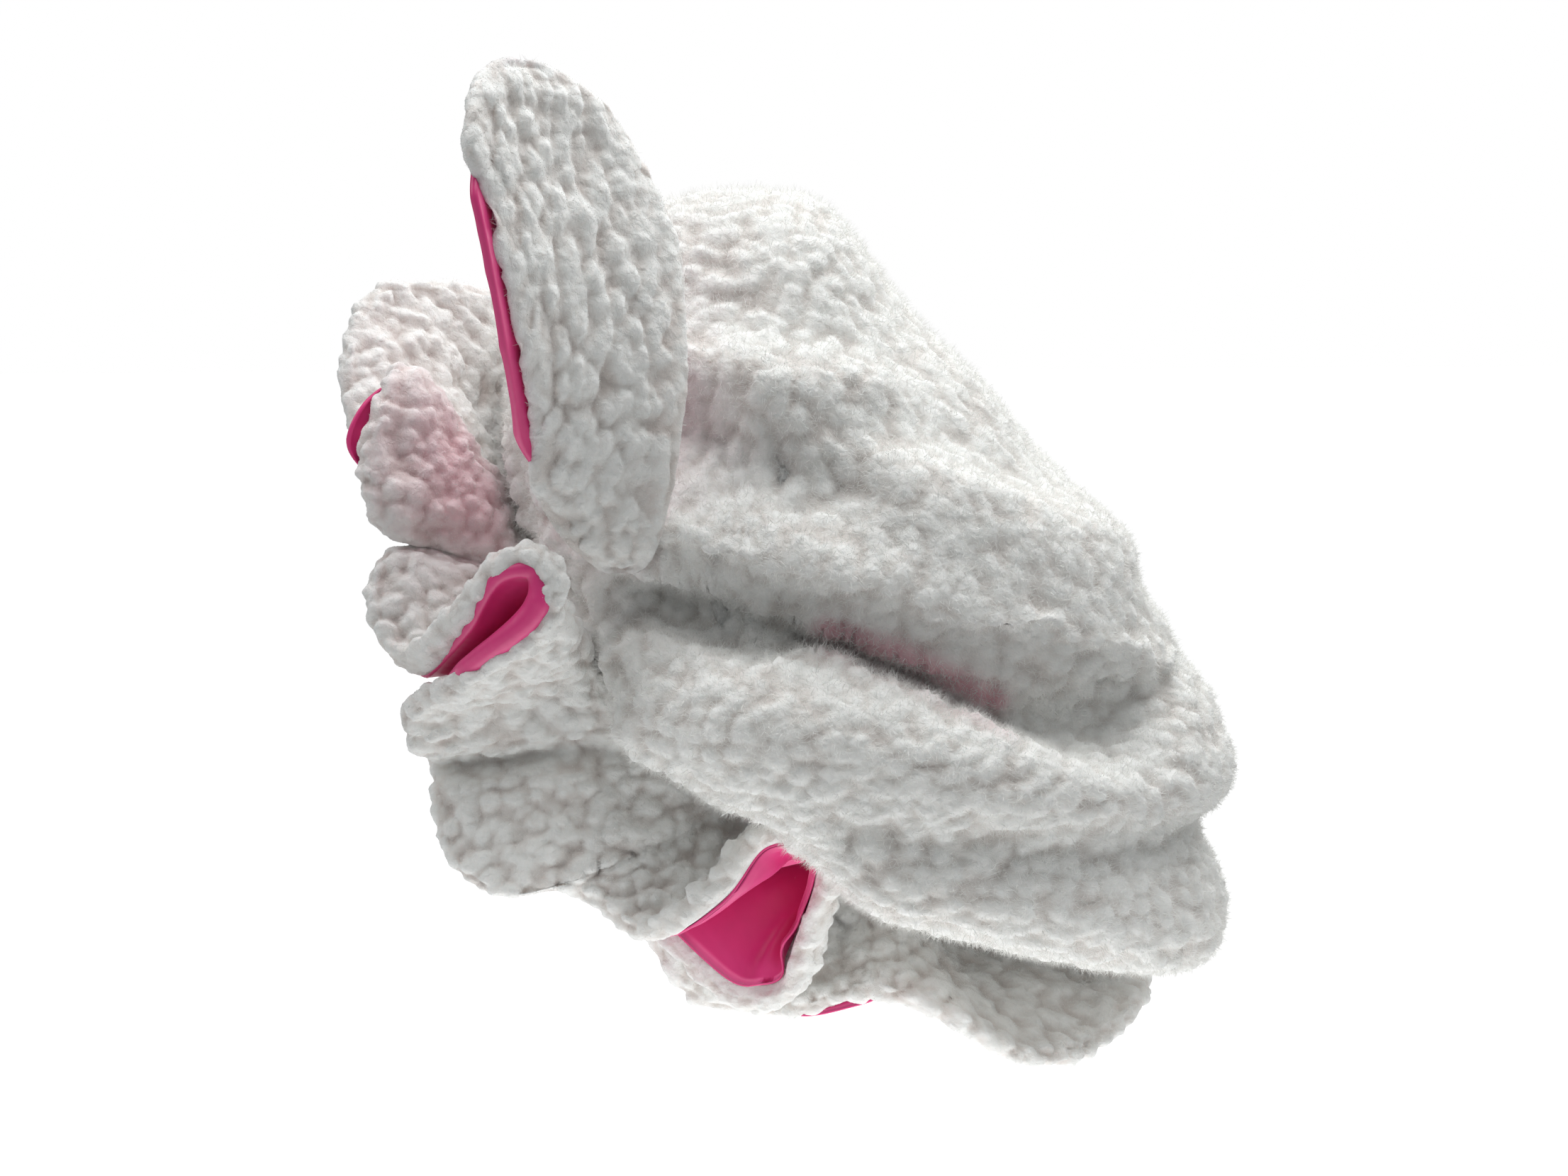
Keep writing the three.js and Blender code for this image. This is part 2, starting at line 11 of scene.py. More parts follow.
import bmesh
import bpy
import numpy as np
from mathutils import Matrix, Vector


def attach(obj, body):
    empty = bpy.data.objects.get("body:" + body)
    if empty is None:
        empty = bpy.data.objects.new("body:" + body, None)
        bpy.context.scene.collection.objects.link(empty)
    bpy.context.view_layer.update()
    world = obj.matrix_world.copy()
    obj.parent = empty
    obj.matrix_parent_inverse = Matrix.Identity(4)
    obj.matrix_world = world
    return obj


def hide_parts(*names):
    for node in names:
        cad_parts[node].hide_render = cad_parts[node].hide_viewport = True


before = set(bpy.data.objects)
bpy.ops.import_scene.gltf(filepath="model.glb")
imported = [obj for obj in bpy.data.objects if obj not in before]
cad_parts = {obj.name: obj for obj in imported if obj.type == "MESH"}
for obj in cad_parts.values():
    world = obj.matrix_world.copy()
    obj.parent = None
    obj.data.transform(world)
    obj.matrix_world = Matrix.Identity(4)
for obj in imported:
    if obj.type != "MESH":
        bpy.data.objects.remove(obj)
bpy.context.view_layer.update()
MM = 0.001

# %% [markdown]
# ## The camera
# The photo looks at the wearer's left side, from slightly in front of it and slightly above. A
# camera is easiest to keep right when it is stated as a point to look at, two angles and a
# distance, so those are the named values here.

# %% Camera at the photo's angle
CAMERA_AZIMUTH = 85.5
CAMERA_ELEVATION = 8
CAMERA_DISTANCE = 1.2
CAMERA_TARGET = Vector((0, 0.037, 0.043))
CAMERA_LENS = 58.3


def direction(azimuth, elevation):
    """The way from the bonnet towards a place round it. Azimuth 0 is the face side."""
    turn, rise = math.radians(azimuth), math.radians(elevation)
    level = math.cos(rise)
    return Vector((math.sin(turn) * level, -math.cos(turn) * level, math.sin(rise)))


camera = bpy.data.objects.new("camera", bpy.data.cameras.new("camera"))
bpy.context.scene.collection.objects.link(camera)
bpy.context.scene.camera = camera
towards_camera = direction(CAMERA_AZIMUTH, CAMERA_ELEVATION)
camera.location = CAMERA_TARGET + towards_camera * CAMERA_DISTANCE
camera.rotation_euler = (-towards_camera).to_track_quat("-Z", "Y").to_euler()
camera.data.lens = CAMERA_LENS

# %% [markdown]
# ## Tables and smooth curves
# A soft form is easy to steer when it is a short table: one row for each place along it, one
# named column for each size. A Catmull-Rom curve then runs smoothly through every row, so a few
# dozen rows give a mesh of any fineness. All sizes here are millimetres.

# %% Helpers for tables and vectors


def table(columns, rows):
    """A list of rows as one array for each named column."""
    return dict(zip(columns, np.array(rows, float).T))


def row_count(rows):
    return len(next(iter(rows.values())))


def row_at(rows, place):
    """The smooth curve through all rows of a table, at places counted in rows."""
    last = row_count(rows) - 1
    index = np.clip(np.floor(place).astype(int), 0, last - 1)
    share = place - index
    result = {}
    for name, column in rows.items():
        a, b, c, d = (column[np.clip(index + step, 0, last)] for step in (-1, 0, 1, 2))
        bend = 2 * a - 5 * b + 4 * c - d
        twist = 3 * b - a - 3 * c + d
        result[name] = b + 0.5 * share * (c - a + share * (bend + share * twist))
    return result


def mix(a, b, share):
    return a + (b - a) * share


def smooth(low, high, value):
    share = np.clip((value - low) / (high - low), 0, 1)
    return share * share * (3 - 2 * share)


def points_of(x, y, z):
    return np.stack(np.broadcast_arrays(x, y, z), axis=-1).astype(float)


def length(vectors):
    return np.linalg.norm(vectors, axis=-1, keepdims=True)


def unit(vectors):
    return vectors / np.maximum(length(vectors), 1e-9)


# %% [markdown]
# ## The elastic band's line
# Everything hangs on the band: an oval loop that falls from the forehead to the nape and dips
# over the ears. The crown rises from it and the ruffle falls from it, so both ask for its points.

# %% The band as a curve
BAND_HALF_LENGTH = 121.5
BAND_HALF_WIDTH = 80
BAND_DROOP = 25
BAND_TILT = math.radians(45.3)
AXIS = np.array([0, math.sin(BAND_TILT), math.cos(BAND_TILT)])
ALONG = np.array([0, math.cos(BAND_TILT), -math.sin(BAND_TILT)])
ACROSS = np.array([1.0, 0, 0])


def band_point(turn):
    """The band at a turn in degrees: 0 is the forehead, 90 the wearer's left, 180 the nape."""
    angle = np.radians(turn)[..., None]
    return (
        -BAND_HALF_LENGTH * np.cos(angle) * ALONG
        + BAND_HALF_WIDTH * np.sin(angle) * ACROSS
        - BAND_DROOP * np.sin(angle) ** 2 * AXIS
    )


def band_outward(turn):
    angle = np.radians(turn)[..., None]
    return unit(
        -BAND_HALF_WIDTH * np.cos(angle) * ALONG + BAND_HALF_LENGTH * np.sin(angle) * ACROSS)


# %% [markdown]
# ## The crown's form
# The crown is a slouched bag. Each row of its table is an arch over the head: the turn of the
# band where the arch stands, the arch's highest point on the middle line, and its half width.
# Folds are the second table: a crest or a hollow along a path in side view, with how far it
# stands out and how quickly it fades above and below.

# %% Tables of the crown
CROWN = table(["turn", "y", "z", "half_width"], [
    [0, -85.5, 86.4, 0],
    [14, -90, 108, 40],
    [27, -92, 134, 62],
    [38, -85, 163, 77],
    [47, -68, 191, 88],
    [54, -44, 213, 95],
    [60, -11, 225, 100],
    [66, 22, 229, 106],
    [71, 51, 224, 114],
    [77, 73, 204, 124],
    [84, 101, 169, 136],
    [91, 138, 132, 146],
    [98, 169, 95, 152],
    [104, 193, 56, 155],
    [109, 213, 22, 156],
    [114, 233, -2, 155],
    [119, 235, -30, 152],
    [124, 230, -61, 149],
    [130, 237, -89, 145],
    [136, 242, -111, 137],
    [143, 235, -128, 127],
    [150, 215, -131, 114],
    [157, 182, -119, 97],
    [164, 145, -105, 76],
    [172, 110, -94, 44],
    [180, 85.5, -86.4, 0],
])
LEFT_FOLDS = {
    "top hollow": dict(out=-8, above=28, below=28, drop=0, path=[[-16, 174], [83, 168]]),
    "top ridge": dict(out=9, above=14, below=14, drop=0, path=[[-19, 158], [66, 145]]),
    "pocket": dict(out=-18, above=20, below=20, drop=0, path=[[-19, 127], [48, 110]]),
    "slanting ridge": dict(out=12, above=16, below=16, drop=0,
        path=[[19, 136], [92, 101], [175, 67]]),
    "back hollow": dict(out=-6, above=20, below=20, drop=0, path=[[58, 130], [143, 104]]),
    "lip": dict(out=14, above=28, below=10, drop=12,
        path=[[-25, 94], [53, 75], [146, 48], [196, 23]]),
    "deep fold": dict(out=-33, above=15, below=24, drop=0,
                      path=[[-30, 52], [34, 50], [93, 32], [142, 11], [184, 1]]),
    "roll": dict(out=16, above=28, below=30, drop=4,
        path=[[-47, 1], [39, 11], [114, -13], [226, -36]]),
    "crease": dict(out=-8, above=14, below=14, drop=0, path=[[55, -37], [224, -56]]),
    "low bulge": dict(out=8, above=26, below=26, drop=4, path=[[73, -58], [228, -100]]),
}
# Edges where the cloth turns sharply: they fade like a tent, not like a bell. They end before
# the back of the bag, where the folds run out.
EDGES_RUN_OUT = (128, 178)
LEFT_EDGES = {
    "top ridge": dict(out=3, above=9, below=15, drop=2,
        path=[[-15, 160], [21, 154], [58, 148], [85, 139]]),
    "slanting ridge": dict(out=3, above=7, below=7, drop=1,
                           path=[[45, 124], [84, 108], [117, 96], [150, 85], [177, 58]]),
    "lip edge": dict(out=7, above=11, below=3, drop=7,
                     path=[[-45, 72], [-12, 65], [20, 59], [46, 53], [78, 44], [111, 33], [145, 22],
                           [178, 14], [204, 6]]),
    "crevice": dict(out=-9, above=3, below=8, drop=0,
                    path=[[30, 50], [58, 46], [85, 36], [112, 23], [139, 9], [165, 0], [191, -3]]),
    "roll top": dict(out=9, above=4, below=14, drop=-3,
                     path=[[-53, 21], [-35, 36], [-6, 34], [13, 28], [29, 36], [45, 38], [68, 27],
                           [98, 13], [125, -2], [151, -15], [182, -15], [209, -12]]),
}
# Under the fleece the cloth only has to keep clear of the crevice, so its bend is wider.
LEFT_INSIDE = {"crevice": LEFT_EDGES["crevice"] | dict(out=-14, above=12, below=16)}
RIGHT_FOLDS = {
    "top hollow": dict(out=-12, above=24, below=24, drop=0,
        path=[[-30, 155], [60, 130], [140, 100]]),
    "ridge": dict(out=12, above=20, below=18, drop=6, path=[[-40, 95], [50, 88], [170, 50]]),
    "deep fold": dict(out=-20, above=20, below=22, drop=0, path=[[-20, 44], [80, 36], [190, 0]]),
    "roll": dict(out=12, above=26, below=26, drop=6, path=[[-30, 0], [90, -5], [220, -50]]),
}

# %% [markdown]
# ## From the tables to a bag
# One function gives the bare bag: an arch stands on each row's place of the band, rises to the
# row's highest point and bulges a little below the band. A second finds how near a point lies to
# a fold's path, and pushes the cloth out or in and lets it sag. Near the band the folds fade and
# small pleats take over, because that is where the elastic gathers the cloth.

# %% The crown's formula
CROWN_BELLY_SHARE = 0.2
CROWN_SAG = 8
CROWN_FULLNESS = 1.03
CROWN_EDGE_CROWDING = 0.35
CROWN_PLEATS = 18
PLEAT_DEPTH = 4
PLEAT_REACH = 42
EDGE_HOLD = 18
FOLD_SIDE = (-15, 35)
FOLD_EDGE_FADE = 16
FOLD_SAMPLES_PER_POINT = 5
LIP_RAGGED = 0.45
LIP_RAGGED_SIZE = 15
SLOPE_STEP = 0.02
POLE_MARGIN = 0.3


def crown_form(place, side):
    """The bag before its folds. Side is 1 at the band on the left, 0 in the middle, -1 right."""
    row = row_at(CROWN, place)
    band = band_point(row["turn"])
    middle = band * [0, 1, 1]
    rise = points_of(0, row["y"], row["z"]) - middle
    depth = length(rise)[..., 0]
    half_width = np.maximum(row["half_width"], band[..., 0] * CROWN_FULLNESS + 0.01)
    start = -np.arccos(band[..., 0] / half_width)
    share = 1 - np.abs(side)
    spread = share * (1 + CROWN_EDGE_CROWDING * (1 - share))
    angle = start + (math.pi / 2 - start) * spread
    belly = depth * CROWN_BELLY_SHARE
    sag = CROWN_SAG * np.sin(np.radians(row["turn"])) ** 2
    low = belly * (1 - np.sin(angle) / np.sin(start)) - sag * np.sin(math.pi * angle / start)
    high = belly + (depth - belly) * np.sin(angle)
    point = middle + unit(rise) * np.where(angle < 0, low, high)[..., None]
    point[..., 0] = np.sign(side) * half_width * np.cos(angle)
    return point


def fold_line(path):
    corners = table(["y", "z"], path)
    count = FOLD_SAMPLES_PER_POINT * len(path)
    line = row_at(corners, np.linspace(0, len(path) - 1, count + 1))
    return np.stack([line["y"], line["z"]], axis=-1)


def fold_distance(line, point):
    """Distance in side view from points to a fold's path, and the side: 1 above it, -1 below it."""
    best = np.full(point.shape[:-1], 1e9)
    side = np.ones(point.shape[:-1])
    for start, end in zip(line[:-1], line[1:]):
        run = end - start
        away = point[..., 1:] - start
        share = np.clip(away @ run / (run @ run), 0, 1)
        distance = np.hypot(away[..., 0] - run[0] * share, away[..., 1] - run[1] * share)
        height = (run[0] * away[..., 1] - run[1] * away[..., 0]) / np.hypot(*run)
        side = np.where(distance < best, np.clip(height / np.maximum(distance, 1e-6), -1, 1), side)
        best = np.minimum(best, distance)
    return best, side


def crown_relief(point, turn, edge_distance, edges):
    """How far the cloth stands out and hangs down at points of the bag."""
    out = np.zeros(turn.shape)
    drop = np.zeros(turn.shape)
    for folds, sign, power in ((LEFT_FOLDS, 1, 2), (edges, 1, 1.2), (RIGHT_FOLDS, -1, 2)):
        weight = smooth(*FOLD_SIDE, point[..., 0] * sign)
        for fold in folds.values():
            distance, height = fold_distance(fold_line(fold["path"]), point)
            width = mix(fold["below"], fold["above"], 0.5 + 0.5 * height)
            strength = weight * np.exp(-((distance / width) ** power))
            if folds is edges:
                strength = strength * (1 - smooth(*EDGES_RUN_OUT, point[..., 1]))
            out += fold["out"] * strength
            drop += fold["drop"] * strength
    free = 1 - np.exp(-((edge_distance / FOLD_EDGE_FADE) ** 2))
    gathered = np.exp(-((edge_distance / PLEAT_REACH) ** 2))
    pleat = np.cos(np.radians(turn * CROWN_PLEATS)) * gathered
    return free * (out + PLEAT_DEPTH * pleat), free * drop


def crown_grid(places, sides, depth, edges=LEFT_INSIDE):
    """Points of the crown's cloth, as deep under its outer face as depth says."""
    place, side = np.meshgrid(places, sides, indexing="ij")
    form = crown_form(place, side)
    inside = np.clip(place, POLE_MARGIN, row_count(CROWN) - 1 - POLE_MARGIN)
    back = crown_form(inside + SLOPE_STEP, side) - crown_form(inside - SLOPE_STEP, side)
    sideways = crown_form(inside, side + SLOPE_STEP) - crown_form(inside, side - SLOPE_STEP)
    turn = row_at(CROWN, place)["turn"]
    edge = band_point(turn)
    edge[..., 0] *= np.where(side < 0, -1, 1)
    edge_distance = length(form - edge)[..., 0]
    hold = np.exp(-((edge_distance / EDGE_HOLD) ** 2))[..., None]
    normal = unit(mix(-unit(np.cross(back, sideways)), -AXIS, hold))
    out, drop = crown_relief(form, turn, edge_distance, edges)
    drop = drop * (1 + LIP_RAGGED * wander(form, LIP_RAGGED_SIZE, 7)[..., 0])
    point = form + normal * (out - depth)[..., None]
    point[..., 2] -= drop
    return point, edge_distance


# %% [markdown]
# ## Tufts of sherpa pile
# Sherpa is knitted with long loops that are brushed and tumbled until they clump into soft balls
# 5 to 12 mm wide, with thin creases between them. Here every cell of a lattice holds one ball, a
# little off its middle, and each point of the cloth rises to the nearest ball's round top. Where
# two balls are equally near they melt together in a crease. Smaller balls sit on the large ones.
# It is worked out in code on the real surface, so the tufts are true geometry that also shapes
# the outline.

# %% A lattice of soft balls
BALL_SIZE = 8.6
BALL_HEIGHT = 6.4
SMALL_BALL_SIZE = 4.7
SMALL_BALL_HEIGHT = 2.4
BALL_JITTER = 0.85
BALL_UNEVEN = 0.12
BALL_REACH = 0.95
BALL_PROFILE = 1.5
BALL_MELT = 16
BALL_MEAN = 0.62
WANDER_SIZE = 12
WANDER = 1.6
SMALL_WANDER_SIZE = 4
SMALL_WANDER = 0.7
PATCH_REACH = 60


def cell_random(cell, salt):
    """A repeatable random number from 0 to 1 for every whole-number cell."""
    mixed = cell[..., 0] * 73856093 ^ cell[..., 1] * 19349663 ^ cell[..., 2] * 83492791
    mixed = (mixed + salt * 40503) & 0xFFFFFFFF
    for _ in range(2):
        mixed = ((mixed >> 16) ^ mixed) * 0x45D9F3B & 0xFFFFFFFF
    return ((mixed >> 16) ^ mixed) / 0x100000000


def wander(points, size, salt):
    """Smooth random numbers from -1 to 1 over space, three to a point."""
    places = points / size
    cell = np.floor(places).astype(np.int64)
    share = places - cell
    share = share * share * (3 - 2 * share)
    total = np.zeros(points.shape)
    for corner in itertools.product((0, 1), repeat=3):
        weight = np.prod(np.where(corner, share, 1 - share), axis=-1)
        for k in range(3):
            total[..., k] += weight * cell_random(cell + corner, salt + k)
    return total * 2 - 1


def balls(points, size, salt):
    """Height over a bed of melted balls, from about 0.3 between them to 1 on the tallest."""
    places = points / size
    cell = np.floor(places).astype(np.int64)
    total = np.zeros(places.shape[:-1])
    for step in itertools.product((-1, 0, 1), repeat=3):
        other = cell + step
        stray = np.stack([cell_random(other, salt + k) for k in range(3)], axis=-1) - 0.5
        apart = length(places - (other + 0.5 + BALL_JITTER * stray))[..., 0]
        uneven = BALL_UNEVEN * (cell_random(other, salt + 3) - 0.5)
        total += np.exp((uneven - apart) * BALL_MELT)
    nearest = np.maximum(-np.log(total) / BALL_MELT, 0)
    return np.maximum(1 - (nearest / BALL_REACH) ** BALL_PROFILE, 0)


def pile(points, salt, coarse=1.0, fine=1.0):
    """Height of the pile in mm over the cloth, and how open to light each point lies, 0 to 1."""
    strayed = points + WANDER * wander(points, WANDER_SIZE, salt)
    strayed = strayed + SMALL_WANDER * wander(points, SMALL_WANDER_SIZE, salt + 5)
    big = balls(strayed, BALL_SIZE * coarse, salt + 10)
    small = balls(strayed, SMALL_BALL_SIZE * coarse, salt + 20)
    patch = 0.9 + 0.2 * wander(points, PATCH_REACH, salt + 40)[..., 0]
    small = mix(BALL_MEAN, small, fine)
    height = patch * (BALL_HEIGHT * big + SMALL_BALL_HEIGHT * small)
    return height, 0.65 * smooth(0.25, 0.8, big) + 0.35 * smooth(0.25, 0.8, small)


# %% [markdown]
# ## From a grid of points to a closed cloth
# Every cloth here is one closed shell. Its grid runs along the cloth in rows. Its columns go over
# the outer face, round the rim and back over the inner face, so they close on themselves. The
# rows either close into a ring, as on the ruffle, or shrink to a point at both ends. The inner
# face is hidden, so it gets few columns and the outer face gets the fine ones.

# %% Mesh builders


def face_normals_of(grid, ring):
    """Outward or inward directions of a grid of points, from its neighbours on both sides."""
    if ring:
        down = np.roll(grid, -1, axis=0) - np.roll(grid, 1, axis=0)
    else:
        down = np.gradient(grid, axis=0)
    return unit(np.cross(down, np.gradient(grid, axis=1)))


def cloth_mesh(name, grid, ring=False, values=None):
    """A closed shell from a grid in mm whose columns close on themselves."""
    rows, columns = grid.shape[:2]
    if not ring:
        grid[[0, -1]] = grid[[0, -1]].mean(axis=1, keepdims=True)
    mesh = bpy.data.meshes.new(name)
    index = np.arange(rows * columns).reshape(rows, columns)
    top = index if ring else index[:-1]
    under = np.roll(index, -1, axis=0) if ring else index[1:]
    quads = np.stack([top, under, np.roll(under, -1, axis=1), np.roll(top, -1, axis=1)], axis=-1)
    quads = quads.reshape(-1, 4)
    mesh.vertices.add(rows * columns)
    mesh.vertices.foreach_set("co", (grid * MM).astype(np.float32).ravel())
    mesh.loops.add(quads.size)
    mesh.loops.foreach_set("vertex_index", quads.astype(np.int32).ravel())
    mesh.polygons.add(len(quads))
    mesh.polygons.foreach_set("loop_start", np.arange(0, quads.size, 4, dtype=np.int32))
    for label, value in (values or {}).items():
        attribute = mesh.attributes.new(label, "FLOAT", "POINT")
        attribute.data.foreach_set("value", value.astype(np.float32).ravel())
    mesh.update(calc_edges=True)
    close_and_turn_out(mesh)
    piece = bpy.data.objects.new(name, mesh)
    bpy.context.scene.collection.objects.link(piece)
    return piece


def close_and_turn_out(mesh):
    """Points that lie on one another become one, and the faces are turned to look outwards."""
    work = bmesh.new()
    work.from_mesh(mesh)
    bmesh.ops.remove_doubles(work, verts=work.verts, dist=1e-6)
    bmesh.ops.dissolve_degenerate(work, edges=work.edges, dist=1e-7)
    if work.calc_volume(signed=True) < 0:
        bmesh.ops.reverse_faces(work, faces=work.faces)
    for face in work.faces:
        face.smooth = True
    work.to_mesh(mesh)
    work.free()


def report(piece):
    """Prints how many triangles a piece has and whether it is closed."""
    mesh = piece.data
    mesh.calc_loop_triangles()
    work = bmesh.new()
    work.from_mesh(mesh)
    open_edges = sum(not edge.is_manifold for edge in work.edges)
    work.free()
    print(f"{piece.name}: {len(mesh.loop_triangles)} triangles, {open_edges} open edges")


# %% [markdown]
# ## The crown in fleece
# The bag's outer face gets a point about every 2 mm, close enough to carry the small tufts. Each
# point then moves out along the face by the height of the pile there. Near the band the pile is
# pressed flat by the seam, so the height fades to nothing at the edge.

# %% Build the crown
CROWN_ROWS = 370
CROWN_LEFT_COLUMNS = 136
CROWN_RIGHT_COLUMNS = 70
INNER_COLUMNS = 50
FLEECE_THICK = 6
SATIN_THICK = 1.2
LAYER_GAP = 0.8
PILE_SINK = 5.3
SEAM_PRESS = 7
CROWN_FINE = 0.25
SEAM_OVERLAP = 4
SEAM_OVERLAP_REACH = 10
CREVICE_GLOW = [[46, 41], [70, 33], [98, 20], [121, 7]]
PINK_LIGHT_REACH = 6
CROWN_PINK_LIGHT = 1.0


def raise_pile(grid, ring, salt, free):
    """A grid with its pile standing on it, and the openness of each point."""
    height, openness = pile(grid, salt, fine=CROWN_FINE)
    normal = face_normals_of(grid, ring)
    return grid + normal * ((height - PILE_SINK) * free)[..., None], openness


places = np.linspace(0, row_count(CROWN) - 1, CROWN_ROWS)
left_sides = np.linspace(1, 0, CROWN_LEFT_COLUMNS, endpoint=False)
right_sides = np.linspace(0, -1, CROWN_RIGHT_COLUMNS)
outer_sides = np.concatenate([left_sides, right_sides])
inner_sides = np.linspace(-1, 1, INNER_COLUMNS)

outer, edge_distance = crown_grid(places, outer_sides, 0, LEFT_EDGES)
inner, _ = crown_grid(places, inner_sides, FLEECE_THICK)
pole_fade = smooth(0, 8, np.minimum(np.arange(CROWN_ROWS), np.arange(CROWN_ROWS)[::-1]))[:, None]
free = smooth(0, SEAM_PRESS, edge_distance) * pole_fade
crown_outer, crown_openness = raise_pile(outer, False, 1, free)
# The roll above the seam hangs over it, while the sewn edge itself stays at the band.
over_seam = SEAM_OVERLAP * np.exp(-((edge_distance / SEAM_OVERLAP_REACH) ** 2)) * pole_fade
over_seam *= smooth(0, SEAM_OVERLAP, edge_distance)
crown_outer -= over_seam[..., None] * AXIS
crown_outer[[0, -1]] = outer[[0, -1]]
crown_grid_points = np.concatenate([crown_outer, inner], axis=1)
crown_values = np.concatenate([crown_openness, np.ones(inner.shape[:2])], axis=1)
# Painted pink light: a glow from the satin is painted into the fleece along the deep fold's
# crevice.
glow_distance, _ = fold_distance(fold_line(CREVICE_GLOW), outer)
in_crevice = np.exp(-((glow_distance / PINK_LIGHT_REACH) ** 2))
crown_pink_light = CROWN_PINK_LIGHT * in_crevice * smooth(20, 60, outer[..., 0])
crown_pink_light = np.concatenate([crown_pink_light, np.zeros(inner.shape[:2])], axis=1)
crown = cloth_mesh(
    "sherpa_crown", crown_grid_points, values={"open": crown_values, "pink_light": crown_pink_light})
report(crown)

# %% [markdown]
# ## The satin lining of the crown
# The lining is the same bag, a fleece thickness further in. Satin is thin and smooth, so instead
# of tufts it gets shallow loose wrinkles, and these only ever move it away from the fleece.

# %% Build the crown's lining
LINING_ROWS = 180
LINING_COLUMNS = 84
WRINKLE_SIZE = 34
WRINKLE_DEPTH = 2.4


def wrinkles(points, size, salt):
    """Loose satin wrinkles: sharp little crests with wide hollows between, 0 to 1."""
    wave = wander(points + 6 * wander(points, size * 0.6, salt + 5), size, salt)[..., 0]
    return (1 - np.abs(wave)) ** 3


lining_sides = np.linspace(1, -1, LINING_COLUMNS)
lining_places = np.linspace(0, row_count(CROWN) - 1, LINING_ROWS)
lining_depth = FLEECE_THICK + LAYER_GAP
seen, lining_edge = crown_grid(lining_places, lining_sides, lining_depth + SATIN_THICK)
hidden, _ = crown_grid(lining_places, lining_sides, lining_depth)
inward = unit(seen - hidden)
slack = WRINKLE_DEPTH * wrinkles(seen, WRINKLE_SIZE, 60) * smooth(4, 30, lining_edge)
moved = slack[..., None] * inward
moved[[0, -1]] = 0
lining_points = np.concatenate([hidden + moved, (seen + moved)[:, ::-1]], axis=1)
crown_lining = cloth_mesh("satin_crown_lining", lining_points)
report(crown_lining)

# %% [markdown]
# ## The ruffle's hem
# The ruffle is a flared strip. Its free edge is a table with a row for each crest and valley of
# the hem on the wearer's left, which the photo shows. On the other side even pleats carry on
# round to the forehead. The belly column says how far the strip swells between band and hem.

# %% Table of the hem
HEM_LEFT = table(["turn", "x", "y", "z", "belly", "lip"], [
    [-34, -80, -101, 147, -20, -4],
    [-25, -54, -98, 181, -18, -4],
    [-16, -34, -137, 188, 0, -4],
    [-8, -18, -158, 182, 14, -4],
    [-1, 0, -167, 160, 14, -4],
    [5, 14, -167, 136, 12, -4],
    [10, 28, -157, 116, 10, -4],
    [15, 46, -142, 148, 16, -2],
    [21, 62, -148, 136, 24, 8],
    [27, 68, -156, 116, 26, 8],
    [33, 70, -154, 96, 20, -4],
    [38, 64, -146, 80, 8, 4],
    [42, 54, -130, 73, -4, 4],
    [46, 66, -146, 68, 8, -4],
    [50, 76, -152, 52, 12, -4],
    [54, 82, -148, 36, 10, -4],
    [58, 93, -133, 24, 2, -2],
    [62, 120, -110, 50, -6, -2],
    [65, 134, -94, 73, -8, -2],
    [68, 141, -77, 75, -8, -2],
    [71, 140, -76, 57, -8, -1],
    [74, 131, -92, 38, -4, 1],
    [77, 110, -118, 19, 8, -4],
    [80, 88, -137, 5, 12, -4],
    [84, 76, -136, -13, 8, -4],
    [88, 62, -128, -26, 0, -4],
    [92, 74, -127, -38, 8, -4],
    [96, 84, -123, -60, 12, -4],
    [101, 92, -110, -74, 16, -4],
    [106, 97, -92, -79, 14, -4],
    [110, 98, -70, -76, 2, -4],
    [114, 98, -52, -84, 8, -4],
    [119, 112, -33, -93, 14, -4],
    [124, 116, -5, -73, 8, -4],
    [129, 107, 18, -50, -6, -4],
    [134, 90, 50, -54, -6, -4],
    [138, 84, 50, -80, -2, -4],
    [142, 78, 40, -110, 2, -5],
    [146, 70, 30, -137, 4, -5],
    [150, 62, 4, -140, 6, -5],
    [153, 52, -34, -108, 6, -4],
    [156, 46, -12, -143, 0, -4],
    [159, 42, 14, -150, -8, -4],
    [162, 48, 40, -150, -8, 4],
    [165, 56, 66, -140, -8, 6],
    [169, 72, 88, -138, -6, -6],
    [173, 84, 112, -148, -6, -6],
    [177, 84, 142, -165, -8, -6],
    [182, 64, 174, -171, -12, -6],
    [188, 30, 208, -161, -16, -4],
    [194, -8, 222, -157, -24, -4],
    [200, -48, 206, -156, -20, -4],
])
FAR_REACH_FOREHEAD = 112
FAR_REACH_NAPE = 140
FAR_REACH_SIDE = 24
FAR_DOWN = 98
FAR_PLEATS = 4
FAR_PLEAT_DEPTH = 21
FAR_ROWS_PER_PLEAT = 3
HEM_LIP = -4


def far_hem():
    """Rows of the hem on the wearer's right."""
    count = FAR_PLEATS * FAR_ROWS_PER_PLEAT
    i = np.arange(1, count)
    turn = mix(HEM_LEFT["turn"][-1], HEM_LEFT["turn"][0] + 360, i / count)
    side = np.sin(np.radians(turn)) ** 2
    wave = FAR_PLEAT_DEPTH * np.sin(2 * math.pi * i / FAR_ROWS_PER_PLEAT)
    reach = np.where(np.cos(np.radians(turn)) > 0, FAR_REACH_FOREHEAD, FAR_REACH_NAPE)
    outwards = (mix(reach, FAR_REACH_SIDE, side) + wave * side)[:, None]
    rise = (wave * (1 - side) - FAR_DOWN * side)[:, None]
    x, y, z = (band_point(turn) + band_outward(turn) * outwards + AXIS * rise).T
    return dict(turn=turn, x=x, y=y, z=z, belly=turn * 0, lip=turn * 0 + HEM_LIP)


